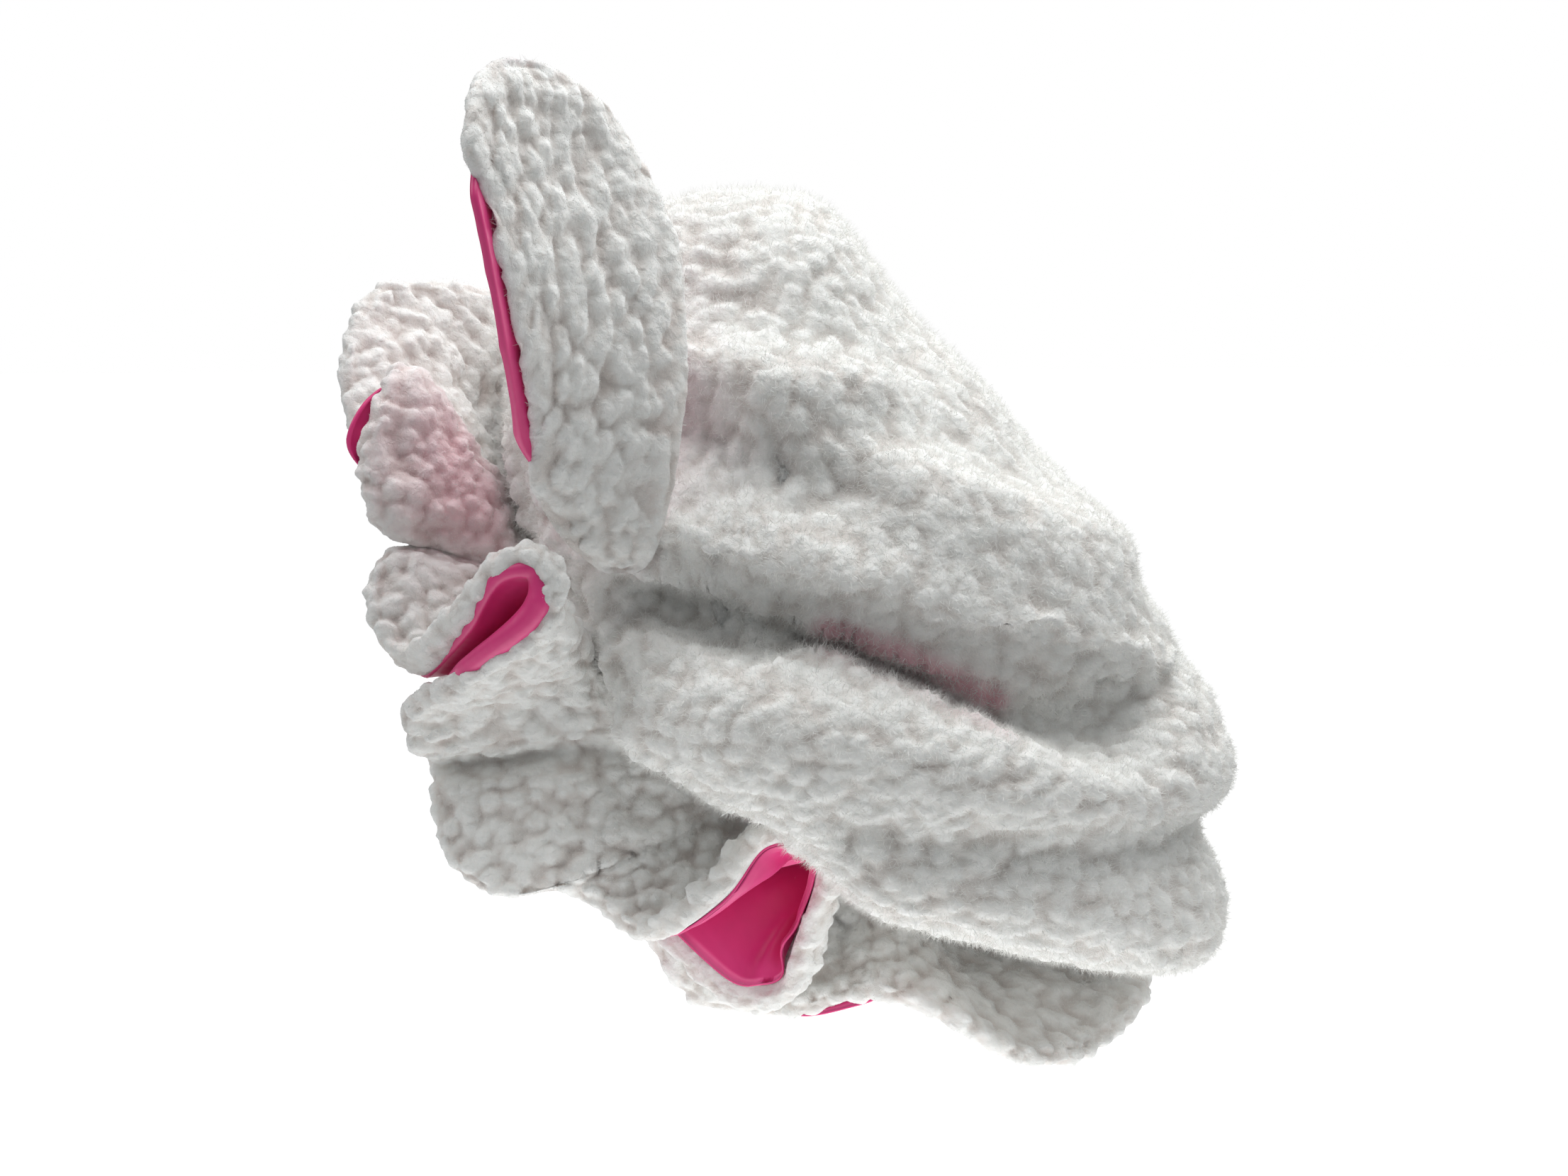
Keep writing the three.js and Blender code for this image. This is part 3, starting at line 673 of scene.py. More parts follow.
def hem_ring():
    """The whole hem, with one row repeated before it and two after it, a full turn away."""
    far = far_hem()
    rows = {name: np.concatenate([HEM_LEFT[name], far[name]]) for name in HEM_LEFT}
    ring = {
        name: np.concatenate([column[-1:], column, column[:2]]) for name, column in rows.items()}
    ring["turn"][0] -= 360
    ring["turn"][-2:] += 360
    return ring


HEM = hem_ring()
HEM_ROWS = row_count(HEM) - 3

# %% [markdown]
# ## The ruffle in fleece and satin
# From each point of the band a curve runs over its belly to the hem. The fleece is the outer
# side. At the hem it turns over a round rim, and the satin side lies behind it. The satin's edge
# stops short of the fleece or shows past it, by the lip column.

# %% Build the ruffle
RUFFLE_ROWS = 1180
RUFFLE_COLUMNS = 54
RUFFLE_RIM_COLUMNS = 9
RIM_PUFF = table(["turn", "puff"], [
    [-400, 6], [50, 6], [58, 10], [68, 10], [74, 7], [80, 6], [500, 6],
])
RUFFLE_REACH = 0.94
RUFFLE_SWELL = 5
RUFFLE_SWELL_SIZE = 30
RUFFLE_PINK_LIGHT = 0.6
PINK_LIGHT_START = (6, 20)
PINK_LIGHT_END = (34, 50)
RUFFLE_INNER_COLUMNS = 8
RUFFLE_THICK = 5.5
RUFFLE_ROOT_DROP = 2.4
RUFFLE_ROOT_INSET = 1
RUFFLE_EVENING = 26


def ruffle_form(place, share):
    """The strip: share is 0 at the band and 1 at the hem."""
    place, share = np.meshgrid(place, share, indexing="ij")
    row = row_at(HEM, place)
    turn = row["turn"]
    outward = band_outward(turn)
    root = band_point(turn) - AXIS * RUFFLE_ROOT_DROP - outward * RUFFLE_ROOT_INSET
    hem = points_of(row["x"], row["y"], row["z"])
    side = (np.sin(np.radians(turn)) ** 2)[..., None]
    fall = outward * (1 - side) - AXIS * side
    swell = unit(np.cross(fall, band_point(turn + 1) - band_point(turn - 1)))
    knee = mix(root, hem, 0.5) + swell * row["belly"][..., None]
    s = share[..., None]
    return root * (1 - s) ** 2 + knee * 2 * s * (1 - s) + hem * s**2, row["lip"]


def even_out(normals, reach):
    """Directions evened out along a ring of rows, over so many rows each way."""
    weights = np.exp(-((np.arange(-2 * reach, 2 * reach + 1) / reach) ** 2))
    total = np.zeros(normals.shape)
    for step, weight in zip(range(-2 * reach, 2 * reach + 1), weights):
        total += weight * np.roll(normals, step, axis=0)
    return unit(total)


ruffle_places = 1 + np.arange(RUFFLE_ROWS) * HEM_ROWS / RUFFLE_ROWS
shares = np.linspace(0, RUFFLE_REACH, RUFFLE_COLUMNS)
ruffle_turn = row_at(HEM, ruffle_places)["turn"]
strip, _ = ruffle_form(ruffle_places, shares)
strip_normal = even_out(-face_normals_of(strip, True), RUFFLE_EVENING)
if np.sum(strip_normal * (strip - strip.mean(axis=(0, 1)))) < 0:
    print("the strip's normals point inwards")
root_fade = smooth(0, 0.12, shares)[None, :]
height, ruffle_openness = pile(strip, 2)
puff = np.interp(ruffle_turn, RIM_PUFF["turn"], RIM_PUFF["puff"])[:, None]
rim_puff = puff * smooth(0.35, 0.9, shares)[None, :]
swells = (
    RUFFLE_SWELL * wander(strip, RUFFLE_SWELL_SIZE, 30)[..., 0]
    * smooth(0.1, 0.4, shares) * (1 - smooth(0.8, 1, shares)))
raised = strip + strip_normal * ((height - PILE_SINK + swells) * root_fade + rim_puff)[..., None]
fleece_back = strip - strip_normal * RUFFLE_THICK
hem_way = unit(strip[:, -1] - strip[:, -2])
rim = []
rim_openness = []
rim_radius = (RUFFLE_THICK + puff) / 2
for k in range(1, RUFFLE_RIM_COLUMNS + 1):
    angle = math.pi * k / (RUFFLE_RIM_COLUMNS + 1)
    centre = strip[:, -1] + strip_normal[:, -1] * (puff - rim_radius)
    spoke = strip_normal[:, -1] * math.cos(angle) + hem_way * math.sin(angle)
    edge = centre + spoke * rim_radius
    rim_height, rim_open = pile(edge, 2)
    facing_out = (1 + math.cos(angle)) / 2
    rim.append(edge + spoke * ((rim_height - PILE_SINK) * mix(0.7, 1, facing_out))[:, None])
    rim_openness.append(rim_open)
back_columns = np.linspace(RUFFLE_COLUMNS - 1, 0, RUFFLE_INNER_COLUMNS).round().astype(int)
ruffle_points = np.concatenate(
    [raised, np.stack(rim, axis=1), fleece_back[:, back_columns]], axis=1)
back_open = np.ones((RUFFLE_ROWS, RUFFLE_INNER_COLUMNS))
ruffle_open = np.concatenate(
    [ruffle_openness, np.stack(rim_openness, axis=1), back_open], axis=1)
# Painted pink light: the satin's light showing through is painted onto the ruffle between these
# turns.
pink_light_turn = smooth(*PINK_LIGHT_START, ruffle_turn) * (1 - smooth(*PINK_LIGHT_END, ruffle_turn))
ruffle_pink_light = np.zeros(ruffle_open.shape)
patchy = 0.8 + 0.3 * wander(strip, 30, 50)[..., 0]
along = smooth(0.05, 0.35, shares) * (1 - 0.75 * smooth(0.5, 0.9, shares))
ruffle_pink_light[:, :RUFFLE_COLUMNS] = RUFFLE_PINK_LIGHT * pink_light_turn[:, None] * patchy * along[None, :]
rim_end = RUFFLE_COLUMNS + RUFFLE_RIM_COLUMNS
ruffle_pink_light[:, RUFFLE_COLUMNS:rim_end] = ruffle_pink_light[:, [RUFFLE_COLUMNS - 1]]
ruffle_pink_light = np.clip(ruffle_pink_light, 0, 1)
ruffle = cloth_mesh(
    "sherpa_ruffle", ruffle_points, ring=True, values={"open": ruffle_open, "pink_light": ruffle_pink_light})
report(ruffle)

# %% [markdown]
# ## The ruffle's satin side
# The satin is sewn behind the fleece and turned in at the hem. Where the hem curls over beside the
# ear's foot, its edge puffs into a thick soft roll, so a table says how large the roll is at each
# turn of the band. Loose satin also throws a few long folds, and two of them show at the nape.

# %% Build the ruffle's satin side
RUFFLE_LINING_ROWS = 900
RUFFLE_LINING_COLUMNS = 20
SATIN_ROLL = table(["turn", "radius"], [
    [-400, 0.6], [8, 0.6], [18, 1.4], [26, 1.4], [30, 0.6], [57, 0.6], [61, 2], [64, 3.5],
    [69, 4], [71, 6], [76, 5], [79, 0.6], [500, 0.6],
])
ROLL_COLUMNS = 12
SATIN_TUCK = 2
NAPE_FOLDS = ((143.5, 5, 1.3, 5), (148, 3, 1.1, 3.5))

lining_ruffle_places = 1 + np.arange(RUFFLE_LINING_ROWS) * HEM_ROWS / RUFFLE_LINING_ROWS
lining_shares = np.linspace(0, RUFFLE_REACH, RUFFLE_LINING_COLUMNS)
satin_strip, satin_lips = ruffle_form(lining_ruffle_places, lining_shares)
satin_normal = even_out(
    -face_normals_of(satin_strip, True), round(RUFFLE_EVENING * RUFFLE_LINING_ROWS / RUFFLE_ROWS))
tuck = SATIN_TUCK * smooth(0.85, 1, lining_shares / RUFFLE_REACH)[None, :, None]
satin_face = satin_strip - satin_normal * (RUFFLE_THICK + LAYER_GAP - tuck)
satin_way = unit(satin_face[:, -1] - satin_face[:, -2])
reach = smooth(0.55, 1, lining_shares)[None, :, None]
satin_face = satin_face + satin_way[:, None] * reach * satin_lips[..., None]
satin_turn = row_at(HEM, lining_ruffle_places)["turn"]
slack = 1.2 * wrinkles(satin_strip, 26, 80) * smooth(0.1, 0.4, lining_shares)
for fold_turn, slant, width, rise in NAPE_FOLDS:
    beside = (satin_turn[:, None] - fold_turn - slant * (1 - lining_shares)) / width
    slack += rise * np.exp(-(beside**2)) * smooth(0.25, 0.6, lining_shares)
satin_face = satin_face - satin_normal * slack[..., None]
satin_back = satin_face - satin_normal * SATIN_THICK
roll = np.interp(satin_turn, SATIN_ROLL["turn"], SATIN_ROLL["radius"])[:, None]
roll_normal = satin_normal[:, -1]
roll_centre = (satin_face[:, -1] + satin_back[:, -1]) / 2
roll_centre = roll_centre + satin_way * (roll - 0.6) * 0.9 + roll_normal * (roll - 0.6) * 0.6
roll_columns = []
for k in range(ROLL_COLUMNS):
    angle = mix(-0.5, math.pi + 0.2, k / (ROLL_COLUMNS - 1))
    spoke = roll_normal * math.cos(angle) + satin_way * math.sin(angle)
    roll_columns.append(roll_centre + spoke * roll)
satin_points = np.concatenate(
    [satin_face, np.stack(roll_columns, axis=1), satin_back[:, ::-1]], axis=1)
ruffle_lining = cloth_mesh("satin_ruffle_lining", satin_points, ring=True)
report(ruffle_lining)

# %% [markdown]
# ## The elastic band
# The elastic runs in a satin casing. When it pulls the cloth together, the casing bunches into
# dozens of narrow gathers, so the band is a flat ring whose faces ripple along its length.

# %% Build the elastic band
BAND_HEIGHT = 9
BAND_THICK = 4.6
BAND_INSET = 0.9
BAND_LOWER_EDGE = -0.5
BAND_ROWS = 1100
BAND_GATHERS = 104
GATHER_DEPTH = 0.9
BAND_PROFILE = 16


def band_casing():
    """Rings of points round the casing's cross-section, one for each step along the band."""
    turn = np.linspace(0, 360, BAND_ROWS, endpoint=False)
    around = np.linspace(0, 2 * math.pi, BAND_PROFILE, endpoint=False)
    middle_height = (BAND_HEIGHT + BAND_LOWER_EDGE) / 2
    half_height = (BAND_HEIGHT - BAND_LOWER_EDGE) / 2
    turns, arounds = np.meshgrid(turn, around, indexing="ij")
    drift = wander(band_point(turns), 9, 90)[..., 0]
    gather = np.abs(np.sin(np.radians(turns) * BAND_GATHERS / 2 + 0.9 * drift))
    pinch = 1 - GATHER_DEPTH / BAND_THICK * (1 - gather) * 1.4
    squared = np.sign(np.cos(arounds)) * np.abs(np.cos(arounds)) ** 0.6
    upright = np.sign(np.sin(arounds)) * np.abs(np.sin(arounds)) ** 0.6
    inset = BAND_INSET + BAND_THICK / 2 - squared * BAND_THICK / 2 * pinch
    rise = middle_height + upright * half_height * (1 - 0.06 * (1 - gather))
    return band_point(turns) - band_outward(turns) * inset[..., None] + AXIS * rise[..., None]


elastic_band = cloth_mesh("gathered_elastic_band", band_casing(), ring=True)
report(elastic_band)

# %% [markdown]
# ## The bear ears
# Each ear is a padded leaf: fleece behind, satin in front, cupped towards the face. Its table
# gives the front and back rims from base to tip. The fleece wraps a little round the rims, and
# the satin shows as a strip along the front rim, as it does in the photo.

# %% Build the ears
EAR = table(["z", "front_x", "front_y", "back_x", "back_y", "cup"], [
    [66, 112, -45, 112.5, -39, 0.05],
    [70, 112, -51, 113, -33, 0.25],
    [88, 126, -66, 120, -27, 0.5],
    [119, 151, -80, 123, -21, 0.8],
    [145, 167, -84, 121, -18, 1],
    [168, 178, -87, 117, -17, 1],
    [206, 188, -93, 108, -20, 1],
    [234, 188, -98, 107, -32, 0.9],
    [253, 182, -98, 112, -43, 0.7],
    [266, 173, -95, 122, -54, 0.5],
    [275, 162, -89, 137, -69, 0.25],
    [277.5, 151, -81, 147, -77, 0.05],
])
EAR_ROWS = 165
EAR_ARC_COLUMNS = 96
EAR_BACK_COLUMNS = 14
EAR_FLEECE_THICK = 9
EAR_SATIN_THICK = 5
EAR_CUP = 12
EAR_CURL = 0.55
EAR_END_ROUND = 16
EAR_SATIN_LIP = 7
EAR_SATIN_INSET = 0.09
EAR_STRIP = (104, 128, 222, 244)
EAR_OVERHANG = 3.5
EAR_TUFTS = 1.06
EAR_STREAK = np.array([1, 1, 0.78])
RIGHT_EAR_INWARDS = 4.5


def ear_form(place, width):
    """The leaf between the two cloths. Width is 0 at the front rim and 1 at the back rim."""
    row = row_at(EAR, place)
    front = points_of(row["front_x"], row["front_y"], row["z"])
    back = points_of(row["back_x"], row["back_y"], row["z"])
    facing = -unit(np.cross(back - front, [0, 0, 1.0]))
    bulge = 4 * width * (1 - width) * EAR_CUP * row["cup"]
    return mix(front, back, width[..., None]) + facing * bulge[..., None]


def ear_point(place, width, distance):
    """A point beside the leaf: distance is above 0 on the fleece side, below 0 on the satin's."""
    last = row_count(EAR) - 1
    above = ear_form(np.minimum(place + SLOPE_STEP, last), width)
    up = above - ear_form(np.maximum(place - SLOPE_STEP, 0), width)
    wide = ear_form(place, width + SLOPE_STEP) - ear_form(place, width - SLOPE_STEP)
    outward = unit(np.cross(wide, up))
    return ear_form(place, width) + outward * distance[..., None], outward


def ear_rows(first, last):
    """Places along the ear, with what each needs: strip share, breadth and rounding at the ends."""
    place = np.linspace(first, last, EAR_ROWS)[:, None]
    row = row_at(EAR, place)
    low, up, down, high = EAR_STRIP
    strip = smooth(low, up, row["z"]) * (1 - smooth(down, high, row["z"]))
    breadth = np.hypot(row["back_x"] - row["front_x"], row["back_y"] - row["front_y"])
    nearest_end = np.minimum(row["z"] - EAR["z"][0], EAR["z"][-1] - row["z"])
    rounding = np.sqrt(1 - (1 - np.clip(nearest_end / EAR_END_ROUND, 0, 1)) ** 2)
    return place, strip, np.maximum(breadth, 1), rounding


def ear_fleece(name, salt, mirror, inwards):
    """The fleece curls round both rims, but stops short of the front rim where satin shows."""
    place, strip, breadth, rounding = ear_rows(0, row_count(EAR) - 1)
    share = np.linspace(0, 1, EAR_ARC_COLUMNS)[None, :]
    angle = mix(-EAR_CURL * (1 - strip), math.pi + EAR_CURL, share)
    overhang = EAR_OVERHANG * rounding / breadth
    start = np.minimum(strip * EAR_SATIN_LIP / breadth, 0.3) - overhang * (1 - strip)
    width = mix(start, 1 + overhang, 0.5 - 0.5 * np.cos(angle))
    place_grid = np.broadcast_to(place, width.shape)
    face, outward = ear_point(place_grid, width, EAR_FLEECE_THICK * rounding * np.sin(angle))
    height, openness = pile(face * EAR_STREAK, salt, EAR_TUFTS)
    sideways = unit(np.gradient(face, axis=1))
    towards = unit(outward * np.sin(angle)[..., None] - sideways * np.cos(angle)[..., None])
    face = face + towards * ((height - PILE_SINK) * np.maximum(rounding, 0.3))[..., None]
    back_share = np.linspace(0.04, 0.96, EAR_BACK_COLUMNS)[None, :]
    back_width = mix(width[:, -1:], width[:, :1], back_share)
    back_place = np.broadcast_to(place, back_width.shape)
    back, _ = ear_point(back_place, back_width, np.full(back_width.shape, LAYER_GAP / 2))
    values = np.concatenate([openness, np.ones(back.shape[:2])], axis=1)
    return finish_ear(name, np.concatenate([face, back], axis=1), values, mirror, inwards)


def ear_satin(name, mirror, inwards):
    """The satin front is padded too. It reaches the front rim only where it shows from behind."""
    place, strip, breadth, rounding = ear_rows(0.6, row_count(EAR) - 1.6)
    share = np.linspace(0, 1, EAR_ARC_COLUMNS // 3)[None, :]
    width = mix(EAR_SATIN_INSET * (1 - strip), 1 - EAR_SATIN_INSET, share)
    place_grid = np.broadcast_to(place, width.shape)
    dome = np.sqrt(np.maximum(4 * share * (1 - share), 0.02))
    padding = EAR_SATIN_THICK * rounding * mix(0.35, 1, dome)
    flat, _ = ear_point(place_grid, width, np.full(width.shape, -1.0))
    crumple = 0.9 * wrinkles(flat, 30, 70)
    face, _ = ear_point(place_grid, width, -padding - crumple)
    back, _ = ear_point(place_grid, width, np.full(width.shape, -LAYER_GAP / 2))
    values = np.ones((EAR_ROWS, 2 * width.shape[1]))
    return finish_ear(name, np.concatenate([face, back[:, ::-1]], axis=1), values, mirror, inwards)


def finish_ear(name, grid, values, mirror, inwards):
    grid[..., 0] = (grid[..., 0] - inwards) * mirror
    piece = cloth_mesh(name, grid, values={"open": values, "pink_light": values * 0})
    report(piece)
    return piece, grid


ears = {}
ear_grids = {}
for side, mirror, inwards, salt in (("left", 1, 0, 3), ("right", -1, RIGHT_EAR_INWARDS, 4)):
    fleece_piece, ear_grids[side] = ear_fleece(f"sherpa_ear_{side}", salt, mirror, inwards)
    satin_piece, _ = ear_satin(f"satin_ear_{side}_front", mirror, inwards)
    ears[side] = (fleece_piece, satin_piece)

# %% [markdown]
# ## Colours and a helper for nodes
# Screen colours are easiest to read as hex numbers, but shaders count in linear light, so one
# function turns one into the other. A second adds a node with its settings and its links, which
# keeps each material below to a short list.

# %% Colour and node helpers


def linear(hex_colour):
    """An sRGB hex colour as linear red, green, blue and alpha."""
    parts = [int(hex_colour[i : i + 2], 16) / 255 for i in (1, 3, 5)]
    return [p / 12.92 if p <= 0.04045 else ((p + 0.055) / 1.055) ** 2.4 for p in parts] + [1]


def add_node(tree, kind, inputs=None, **settings):
    """A new node. An input is a plain value, or another node's output to link to it."""
    node = tree.nodes.new(kind)
    for name, value in settings.items():
        setattr(node, name, value)
    for name, value in (inputs or {}).items():
        if isinstance(value, bpy.types.NodeSocket):
            tree.links.new(value, node.inputs[name])
        else:
            node.inputs[name].default_value = value
    return node


def new_material(name):
    material = bpy.data.materials.new(name)
    material.use_nodes = True
    material.node_tree.nodes.clear()
    return material, material.node_tree


# %% [markdown]
# ## Sherpa fleece
# The pile is brushed polyester: matt, with light soaking in between its fibres, so shadows are
# soft and creases look warm rather than black. Shade in the creases is painted into its colour,
# which turns greyer and warmer where a point lies less open to light, and pink light from the
# satin is painted in as a faint tint. A fine noise at fibre size roughens the tufts, and a wide
# one gives the faint patchy look of handled pile.

# %% Sherpa material
FLEECE_TOP = "#F6F6F3"
# Painted shade: the colour down in the pile's creases.
FLEECE_CREASE_SHADE = "#E0D9D4"
# Painted pink light from the satin behind the fleece.
FLEECE_PINK_LIGHT = "#EFBEC7"
FIBRE_SIZE = 1.2 * MM
TUFT_SPACING = 5.0 * MM
TUFT_DEPTH = 3.5 * MM
CURL_SPACING = 2.6 * MM
CURL_DEPTH = 2.2 * MM
FIBRE_DEPTH = 0.6 * MM
PATCH_SIZE = 45 * MM
PATCH_SHADE = 0.96
PILE_GLOW_REACH = 5 * MM


def sherpa_material():
    material, tree = new_material("brushed_sherpa_pile")
    place = add_node(tree, "ShaderNodeTexCoord").outputs["Object"]
    openness = add_node(tree, "ShaderNodeAttribute", attribute_name="open")
    pink_light = add_node(tree, "ShaderNodeAttribute", attribute_name="pink_light")
    # Shade in the creases is painted in: the colour turns greyer and warmer where a point lies less
    # open to light.
    depth = add_node(tree, "ShaderNodeMapRange",
                     {"Value": openness.outputs["Fac"], "From Min": 0.1, "From Max": 0.85})
    crease_shaded_colour = add_node(tree, "ShaderNodeMix",
                           {"Factor": depth.outputs["Result"]}, data_type="RGBA")
    crease_shaded_colour.inputs[6].default_value = linear(FLEECE_CREASE_SHADE)
    crease_shaded_colour.inputs[7].default_value = linear(FLEECE_TOP)
    # Pink light that comes through from the satin behind is painted in as a faint pink tint.
    warmed = add_node(tree, "ShaderNodeMix", {"Factor": pink_light.outputs["Fac"]}, data_type="RGBA")
    tree.links.new(crease_shaded_colour.outputs[2], warmed.inputs[6])
    warmed.inputs[7].default_value = linear(FLEECE_PINK_LIGHT)
    # Handling leaves faint wide patches.
    patch = add_node(tree, "ShaderNodeTexNoise",
                     {"Vector": place, "Scale": 1 / PATCH_SIZE, "Detail": 3.0})
    tone = add_node(tree, "ShaderNodeMapRange",
                    {"Value": patch.outputs["Fac"], "From Min": 0.3, "From Max": 0.7,
                     "To Min": PATCH_SHADE, "To Max": 1.0})
    toned = add_node(tree, "ShaderNodeVectorMath",
                     {0: warmed.outputs[2], "Scale": tone.outputs["Result"]}, operation="SCALE")
    # Tufts too small for the mesh: soft tops from the distance to the nearest cell's middle, on
    # places that a noise has moved a little, so that no row of cells shows.
    stray = add_node(tree, "ShaderNodeTexNoise",
                     {"Vector": place, "Scale": 1 / (2 * TUFT_SPACING), "Detail": 2.0})
    shift = add_node(tree, "ShaderNodeVectorMath",
                     {0: stray.outputs["Color"], "Scale": TUFT_SPACING}, operation="SCALE")
    strayed = add_node(tree, "ShaderNodeVectorMath", {0: place, 1: shift.outputs["Vector"]})
    cells = add_node(tree, "ShaderNodeTexVoronoi",
                     {"Vector": strayed.outputs["Vector"], "Scale": 1 / TUFT_SPACING,
                      "Smoothness": 0.45, "Randomness": 1.0}, feature="SMOOTH_F1")
    # Small curls on the tufts, then single fibres on the curls.
    curls = add_node(tree, "ShaderNodeTexNoise",
                     {"Vector": place, "Scale": 1 / CURL_SPACING, "Detail": 3.0,
                      "Roughness": 0.55, "Distortion": 0.8})
    fibre = add_node(tree, "ShaderNodeTexNoise",
                     {"Vector": place, "Scale": 1 / FIBRE_SIZE,
                      "Detail": 3.0, "Roughness": 0.6})
    tuft_bump = add_node(tree, "ShaderNodeBump",
                         {"Height": cells.outputs["Distance"], "Strength": 0.5,
                          "Distance": TUFT_DEPTH}, invert=True)
    curl_bump = add_node(tree, "ShaderNodeBump",
                         {"Height": curls.outputs["Fac"], "Strength": 0.55, "Distance": CURL_DEPTH,
                          "Normal": tuft_bump.outputs["Normal"]})
    bump = add_node(tree, "ShaderNodeBump",
                    {"Height": fibre.outputs["Fac"], "Strength": 0.3, "Distance": FIBRE_DEPTH,
                     "Normal": curl_bump.outputs["Normal"]})
    shader = add_node(tree, "ShaderNodeBsdfPrincipled", {
        "Base Color": toned.outputs["Vector"],
        "Normal": bump.outputs["Normal"],
        "Roughness": 1.0,
        "Specular IOR Level": 0.1,
        "Subsurface Weight": 0.6,
        "Subsurface Radius": (1.0, 0.94, 0.92),
        "Subsurface Scale": PILE_GLOW_REACH,
        "Sheen Weight": 0.15,
        "Sheen Roughness": 0.6,
    })
    add_node(tree, "ShaderNodeOutputMaterial", {"Surface": shader.outputs["BSDF"]})
    return material


def fibre_material():
    material, tree = new_material("loose_polyester_fibres")
    shader = add_node(tree, "ShaderNodeBsdfPrincipled", {
        "Base Color": linear(FLEECE_TOP), "Roughness": 1.0, "Specular IOR Level": 0.1,
        "Subsurface Weight": 0.0, "Sheen Weight": 0.1,
    })
    add_node(tree, "ShaderNodeOutputMaterial", {"Surface": shader.outputs["BSDF"]})
    return material


loose_fibre = fibre_material()
sherpa = sherpa_material()

# %% [markdown]
# ## Satin
# The lining is polyester satin, dyed hot pink. Its long floating threads lie nearly parallel, so
# it shines more than a plain weave, with a soft broad highlight. The weave is a few threads to a
# millimetre, far too fine to show. It is drawn as faint bands about 4 mm apart, many times as
# coarse, which ripple the highlight a little.

# %% Satin materials
SATIN_PINK = "#E63884"
# The casing's darker pink is painted shade for its bunched gathers.
ELASTIC_SHADED_PINK = "#CC2064"
# The wave node takes the sine of 10 times the sum of x, y and z over this size, which puts its
# diagonal bands 0.36 of the size apart, or 4.4 mm.
SATIN_BANDS = 12 * MM
SATIN_SLUBS = 9 * MM
SATIN_DEEP = 0.86


def satin_material(name, colour, roughness):
    material, tree = new_material(name)
    place = add_node(tree, "ShaderNodeTexCoord")
    threads = add_node(tree, "ShaderNodeTexWave",
                       {"Vector": place.outputs["Object"], "Scale": 1 / SATIN_BANDS,
                        "Distortion": 1.5},
                       bands_direction="DIAGONAL")
    slubs = add_node(tree, "ShaderNodeTexNoise",
                     {"Vector": place.outputs["Object"], "Scale": 1 / SATIN_SLUBS, "Detail": 4.0})
    deep = [c * SATIN_DEEP for c in linear(colour)[:3]] + [1]
    shade = add_node(tree, "ShaderNodeMix", {"Factor": slubs.outputs["Fac"]}, data_type="RGBA")
    shade.inputs[6].default_value = deep
    shade.inputs[7].default_value = linear(colour)
    bump = add_node(tree, "ShaderNodeBump",
                    {"Height": threads.outputs["Fac"], "Strength": 0.18, "Distance": 0.2 * MM})
    shader = add_node(tree, "ShaderNodeBsdfPrincipled", {
        "Base Color": shade.outputs[2],
        "Normal": bump.outputs["Normal"],
        "Roughness": roughness,
        "Specular IOR Level": 0.5,
        "Sheen Weight": 0.35,
        "Sheen Roughness": 0.35,
        "Sheen Tint": linear("#FF9CC4"),
    })
    add_node(tree, "ShaderNodeOutputMaterial", {"Surface": shader.outputs["BSDF"]})
    return material


satin = satin_material("polyester_satin_lining", SATIN_PINK, 0.38)
elastic = satin_material("satin_elastic_casing", ELASTIC_SHADED_PINK, 0.48)

# %% [markdown]
# ## Loose fibres
# Brushed pile has a halo of stray fibres that softens every outline. They repeat by the thousand,
# so Geometry Nodes scatter them: points on the outer face, one thin blade of a single triangle on
# each, turned along the face's normal and then tilted at random.

# %% Geometry Nodes for the fibres
FIBRE_LENGTH = 6.5 * MM
FIBRE_WIDTH = 0.28 * MM
FIBRE_TILT = 1.0
FIBRE_DENSITY = 400000.0
FIBRE_RISE = 0.2


